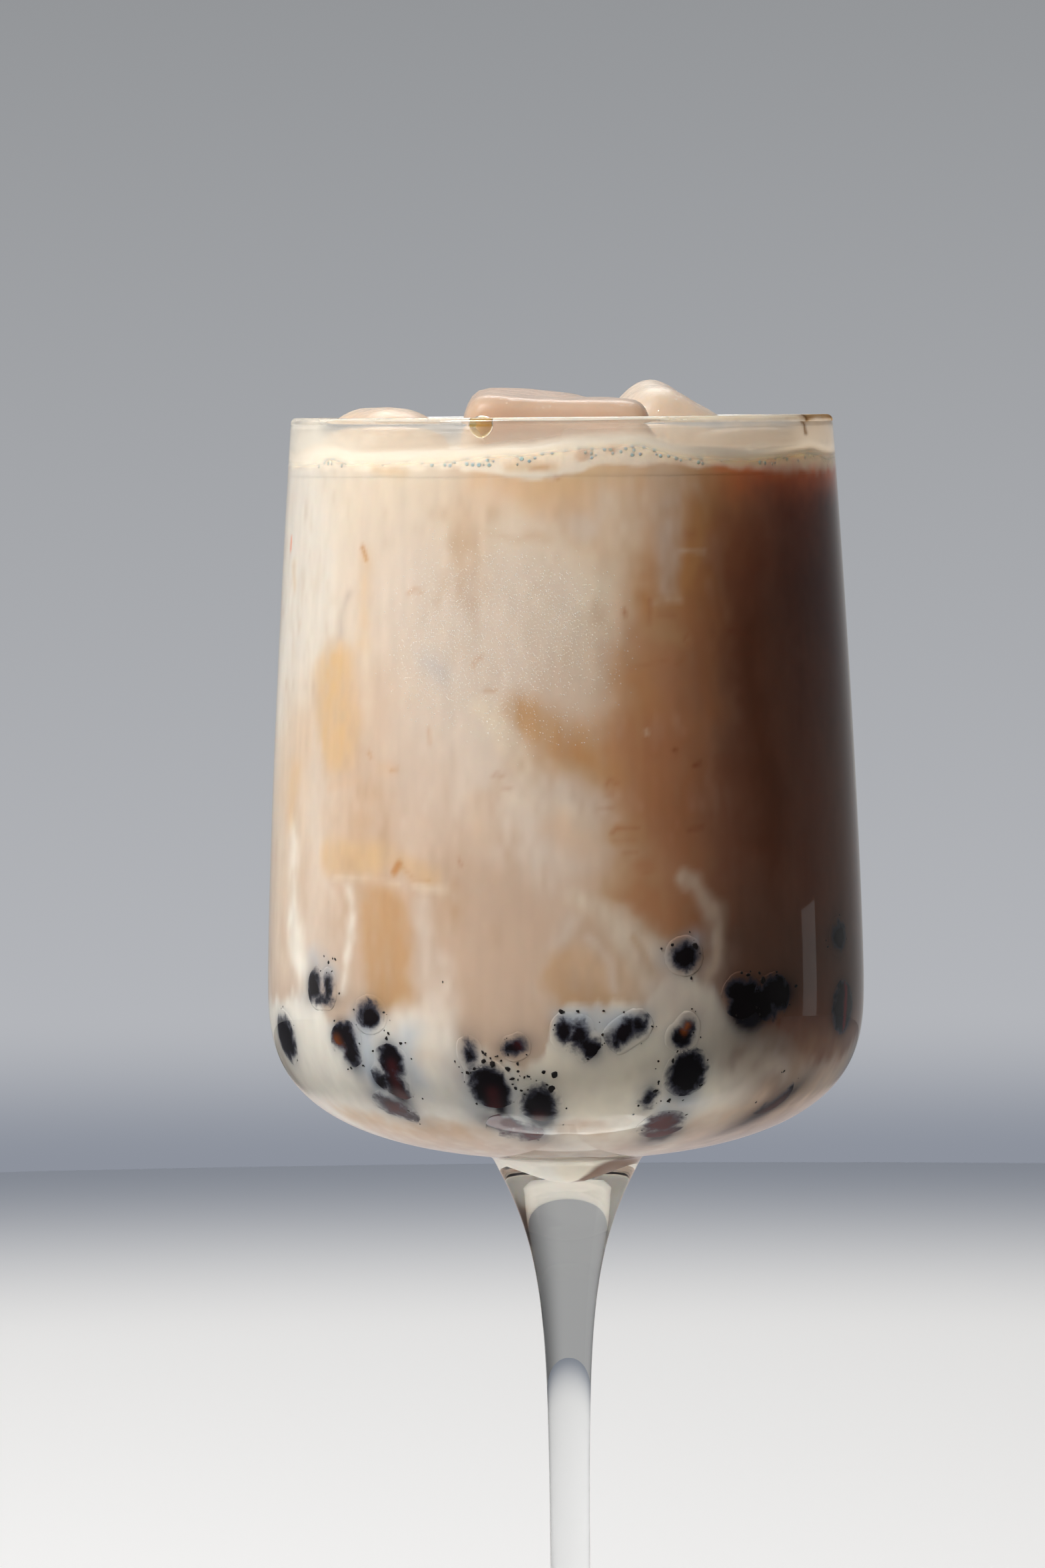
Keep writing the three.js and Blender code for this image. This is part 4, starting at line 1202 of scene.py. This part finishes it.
# A drop of amber coffee that hangs inside the lip, left of the middle: clear, as wide as it
# is high, flat where it clings to the glass.
DROP_ANGLE, DROP_HEIGHT = -17.6, 203.7
DROP_HALF = 1.7, 0.8, 1.55
DROP_INWARD, DROP_FLAT = 0.35, 0.4
amber_drop, tree, shader = new_material(
    "amber_coffee", Base_Color=(0.66, 0.48, 0.18, 1), Roughness=0.0, IOR=1.34, Transmission_Weight=1.0
)
let_lamps_through(tree, shader, (0.9, 0.75, 0.45, 1))
drop_points, drop_faces = round_ball(4)
drop_points = drop_points * DROP_HALF
drop_points[:, 0] *= 1 + 0.22 * drop_points[:, 2] / DROP_HALF[2]
turn = math.radians(DROP_ANGLE)
wall_radius = float(inside_radius(DROP_HEIGHT))
depth = wall_radius - DROP_INWARD + np.minimum(drop_points[:, 1], DROP_FLAT)
around = turn + drop_points[:, 0] / wall_radius
drop_points = place(depth, around, DROP_HEIGHT + drop_points[:, 2])
drop = make_piece("amber_drop", drop_points, drop_faces, amber_drop)
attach(drop, "root")

# Dew: water from the air, in thousands of tiny beads on the cold glass in front of the palest
# milk, strewn on the outside of the bowl by Geometry Nodes. The beads are painted partly white,
# as painted glints.
DEW_FROM, DEW_TO = (-46, 150), (24, 196)
DEW_ROWS, DEW_COLUMNS = 60, 80
DEW_SPACING, DEW_DENSITY = 0.2, 9.0
DEW_RADII = 0.03, 0.085
DEW_STANDS = 0.5
dew_rise = np.linspace(DEW_FROM[1], DEW_TO[1], DEW_ROWS)
dew_angles = np.radians(np.linspace(DEW_FROM[0], DEW_TO[0], DEW_COLUMNS))
dew_points = sweep(np.column_stack([outside_radius(dew_rise), dew_rise]), dew_angles)
dew_faces = net(DEW_ROWS, DEW_COLUMNS, closed=False)
# clear water painted partly white, as painted glints
dew_painted_glint = new_material(
    "dew_painted_glint", Base_Color=(1, 1, 1, 1), Roughness=0.08, IOR=1.33, Alpha=0.4
)[0]
misted = make_piece("misted_glass", dew_points, dew_faces, dew_painted_glint)
spread = np.hypot((angle_of(dew_points) + 12) / 26, (dew_points[:, 2] - 175) / 15)
give_values(misted, "crowd", eased((1.15 - (spread + haze(dew_points, 6, 50) * 0.25)) / 0.8))
dew = strew(
    "dew", misted, dew_painted_glint, Spacing=DEW_SPACING * MM, Density=DEW_DENSITY / MM**2,
    Smallest=DEW_RADII[0] * MM, Largest=DEW_RADII[1] * MM, Stands=DEW_STANDS, Detail=1, Seed=8,
)
bpy.data.objects.remove(misted)
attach(dew, "root")

# The stage: a pale round table top in a plain grey room, which is darker towards the camera's
# side. A soft lamp stands high on the left, in front, with a weak one behind and a faint one
# low on the right. The camera is level with the lip and rolled a little, as the photo is.
TABLE_RADIUS = 0.92
TABLE = (252, 251, 250)
# the table greys towards its edge, as painted shade
TABLE_EDGE_SHADE = (158, 164, 176)
TABLE_FADES_FROM, TABLE_FADES_TO = 0.56, 0.93
# Painted shade and light that wet or polished faces mirror of the table: shade in front and
# at the left, a dimmer grey at the right, and light behind
TABLE_SHADE_MIRRORED_IN_FRONT = (58, 60, 64)
TABLE_LIGHT_MIRRORED_BEHIND = (208, 198, 196)
TABLE_SHADE_MIRRORED_LEFT = (70, 72, 77)
TABLE_SHADE_MIRRORED_RIGHT = (146, 147, 150)
MIRRORED_FROM, MIRRORED_TO = -0.012, -0.03
SIDES_FROM, SIDES_TO = 0.11, 0.15
# Painted light: the pale table glows round the foot, seen only by light bounced from the drink,
# for the light it throws up at the drink from round the foot
TABLE_GLOW = 2.0
GLOW_FROM, GLOW_TO = 0.07, 0.2
ROOM_ABOVE = (147, 149, 152)
ROOM_BELOW = (182, 184, 189)
ROOM_AT_TABLE = (141, 146, 157)
ROOM_ABOVE_FROM = 0.06
ROOM_BELOW_FROM = -0.1
AT_TABLE_FROM, AT_TABLE_TO = -0.086, -0.107
ROOM_SHADE_IN_FRONT = 0.075
ROOM_SHADE_BEHIND = 0.36
ROOM_SHADE_RIGHT = 0.42
CAMERA_DISTANCE = 1.0
CAMERA_HEIGHT = 0.208
CAMERA_ASIDE = -0.0059
FIELD_HEIGHT = 0.2205
LOOK_DOWN = 3.13
ROLL = -0.45
SENSOR = 36.0
LAMPS = [
    # name, azimuth and elevation in degrees, distance, width and height, power in watts
    ("key", -48, 50, 1.3, (0.45, 0.45), 15.5),
    ("back", 180, 50, 1.3, (0.6, 0.4), 5),
    ("edge", 106, -7.6, 1.1, (0.17, 0.22), 0.042),
]
LAMPS_AIM = Vector((0, 0, 0.14))
TABLE_SIDES = 128

table_points = place(np.full(TABLE_SIDES, TABLE_RADIUS / MM), full_turn(TABLE_SIDES), np.zeros(TABLE_SIDES))
table_top, tree, shader = new_material(
    "table_top", Roughness=0.7, Specular_IOR_Level=0.05, Emission_Color=(1, 1, 1, 1)
)
outward = add_node(tree, "ShaderNodeVectorMath", {0: object_place(tree)}, operation="LENGTH").outputs[1]
spot = add_node(tree, "ShaderNodeSeparateXYZ", {0: object_place(tree)}).outputs
ray = add_node(tree, "ShaderNodeLightPath").outputs
# painted shade: the table greys towards its edge
fading = ramp(tree, outward, TABLE_FADES_FROM, TABLE_FADES_TO, smooth=True)
tone = blend(tree, fading, rgba(TABLE), rgba(TABLE_EDGE_SHADE))
# what glossy rays see of the table: painted light and shade, by side
at_left, at_right = [
    ramp(tree, spot["X"], SIDES_FROM * side, SIDES_TO * side, smooth=True) for side in (-1, 1)
]
mirrored = blend(tree, at_right, rgba(TABLE_LIGHT_MIRRORED_BEHIND), rgba(TABLE_SHADE_MIRRORED_RIGHT))
mirrored = blend(tree, at_left, mirrored, rgba(TABLE_SHADE_MIRRORED_LEFT))
only_mirrored = reckon(tree, "GREATER_THAN", ray["Is Glossy Ray"], ray["Is Transmission Ray"])
tone = blend(tree, only_mirrored, tone, mirrored)
# painted shade in front, seen only in reflections
in_front = ramp(tree, spot["Y"], MIRRORED_FROM, MIRRORED_TO, smooth=True)
tone = blend(tree, reckon(tree, "MULTIPLY", in_front, ray["Is Glossy Ray"]), tone, rgba(TABLE_SHADE_MIRRORED_IN_FRONT))
# painted light: the table glows near the foot
near_foot = ramp(tree, outward, GLOW_TO, GLOW_FROM, high=TABLE_GLOW, smooth=True)
from_drink = reckon(tree, "GREATER_THAN", ray["Diffuse Depth"], ray["Glossy Depth"])
feed(shader, Base_Color=tone, Emission_Strength=reckon(tree, "MULTIPLY", near_foot, from_drink))
table = make_piece("table", table_points, [list(range(TABLE_SIDES))], table_top)

world = bpy.data.worlds.new("room")
bpy.context.scene.world = world
world.use_nodes = True
tree = world.node_tree
way = add_node(tree, "ShaderNodeTexCoord")
part = add_node(tree, "ShaderNodeSeparateXYZ", {0: way.outputs["Generated"]}).outputs
fall = ramp(tree, part["Z"], ROOM_BELOW_FROM, ROOM_ABOVE_FROM)
low = ramp(tree, part["Z"], AT_TABLE_FROM, AT_TABLE_TO, smooth=True)
backdrop = blend(tree, low, blend(tree, fall, rgba(ROOM_BELOW), rgba(ROOM_ABOVE)), rgba(ROOM_AT_TABLE))
depth = ramp(tree, part["Y"], -0.35, 0.75, ROOM_SHADE_IN_FRONT, ROOM_SHADE_BEHIND, smooth=True)
sideways = ramp(tree, part["X"], 0.1, 0.8, 1.0, ROOM_SHADE_RIGHT, smooth=True)
shade = reckon(tree, "MULTIPLY", depth, sideways)
seen = add_node(tree, "ShaderNodeLightPath").outputs["Is Camera Ray"]
feed(tree.nodes["Background"], Color=blend(tree, seen, shade, backdrop))


def softbox(name, azimuth, elevation, distance, size, power):
    """A rectangular lamp; azimuth counts from the front to the right, in degrees."""
    lamp = bpy.data.lights.new(name, "AREA")
    lamp.shape = "RECTANGLE"
    lamp.size, lamp.size_y = size
    lamp.energy = power
    turn, lift = math.radians(azimuth), math.radians(elevation)
    away = Vector((math.sin(turn) * math.cos(lift), -math.cos(turn) * math.cos(lift), math.sin(lift)))
    holder = bpy.data.objects.new(name, lamp)
    holder.location = LAMPS_AIM + away * distance
    holder.rotation_euler = away.to_track_quat("Z", "Y").to_euler()
    holder.visible_camera = False
    bpy.context.scene.collection.objects.link(holder)


for lamp in LAMPS:
    softbox(*lamp)

camera = bpy.data.objects.new("camera", bpy.data.cameras.new("camera"))
camera.data.sensor_width = SENSOR
camera.data.lens = SENSOR * CAMERA_DISTANCE / FIELD_HEIGHT
camera.location = (CAMERA_ASIDE, -CAMERA_DISTANCE, CAMERA_HEIGHT)
level = Vector((0, 1, -math.tan(math.radians(LOOK_DOWN)))).to_track_quat("-Z", "Y")
camera.rotation_euler = (level @ Quaternion((0, 0, 1), math.radians(ROLL))).to_euler()
bpy.context.scene.collection.objects.link(camera)
bpy.context.scene.camera = camera
bpy.context.scene.view_settings.view_transform = "Standard"
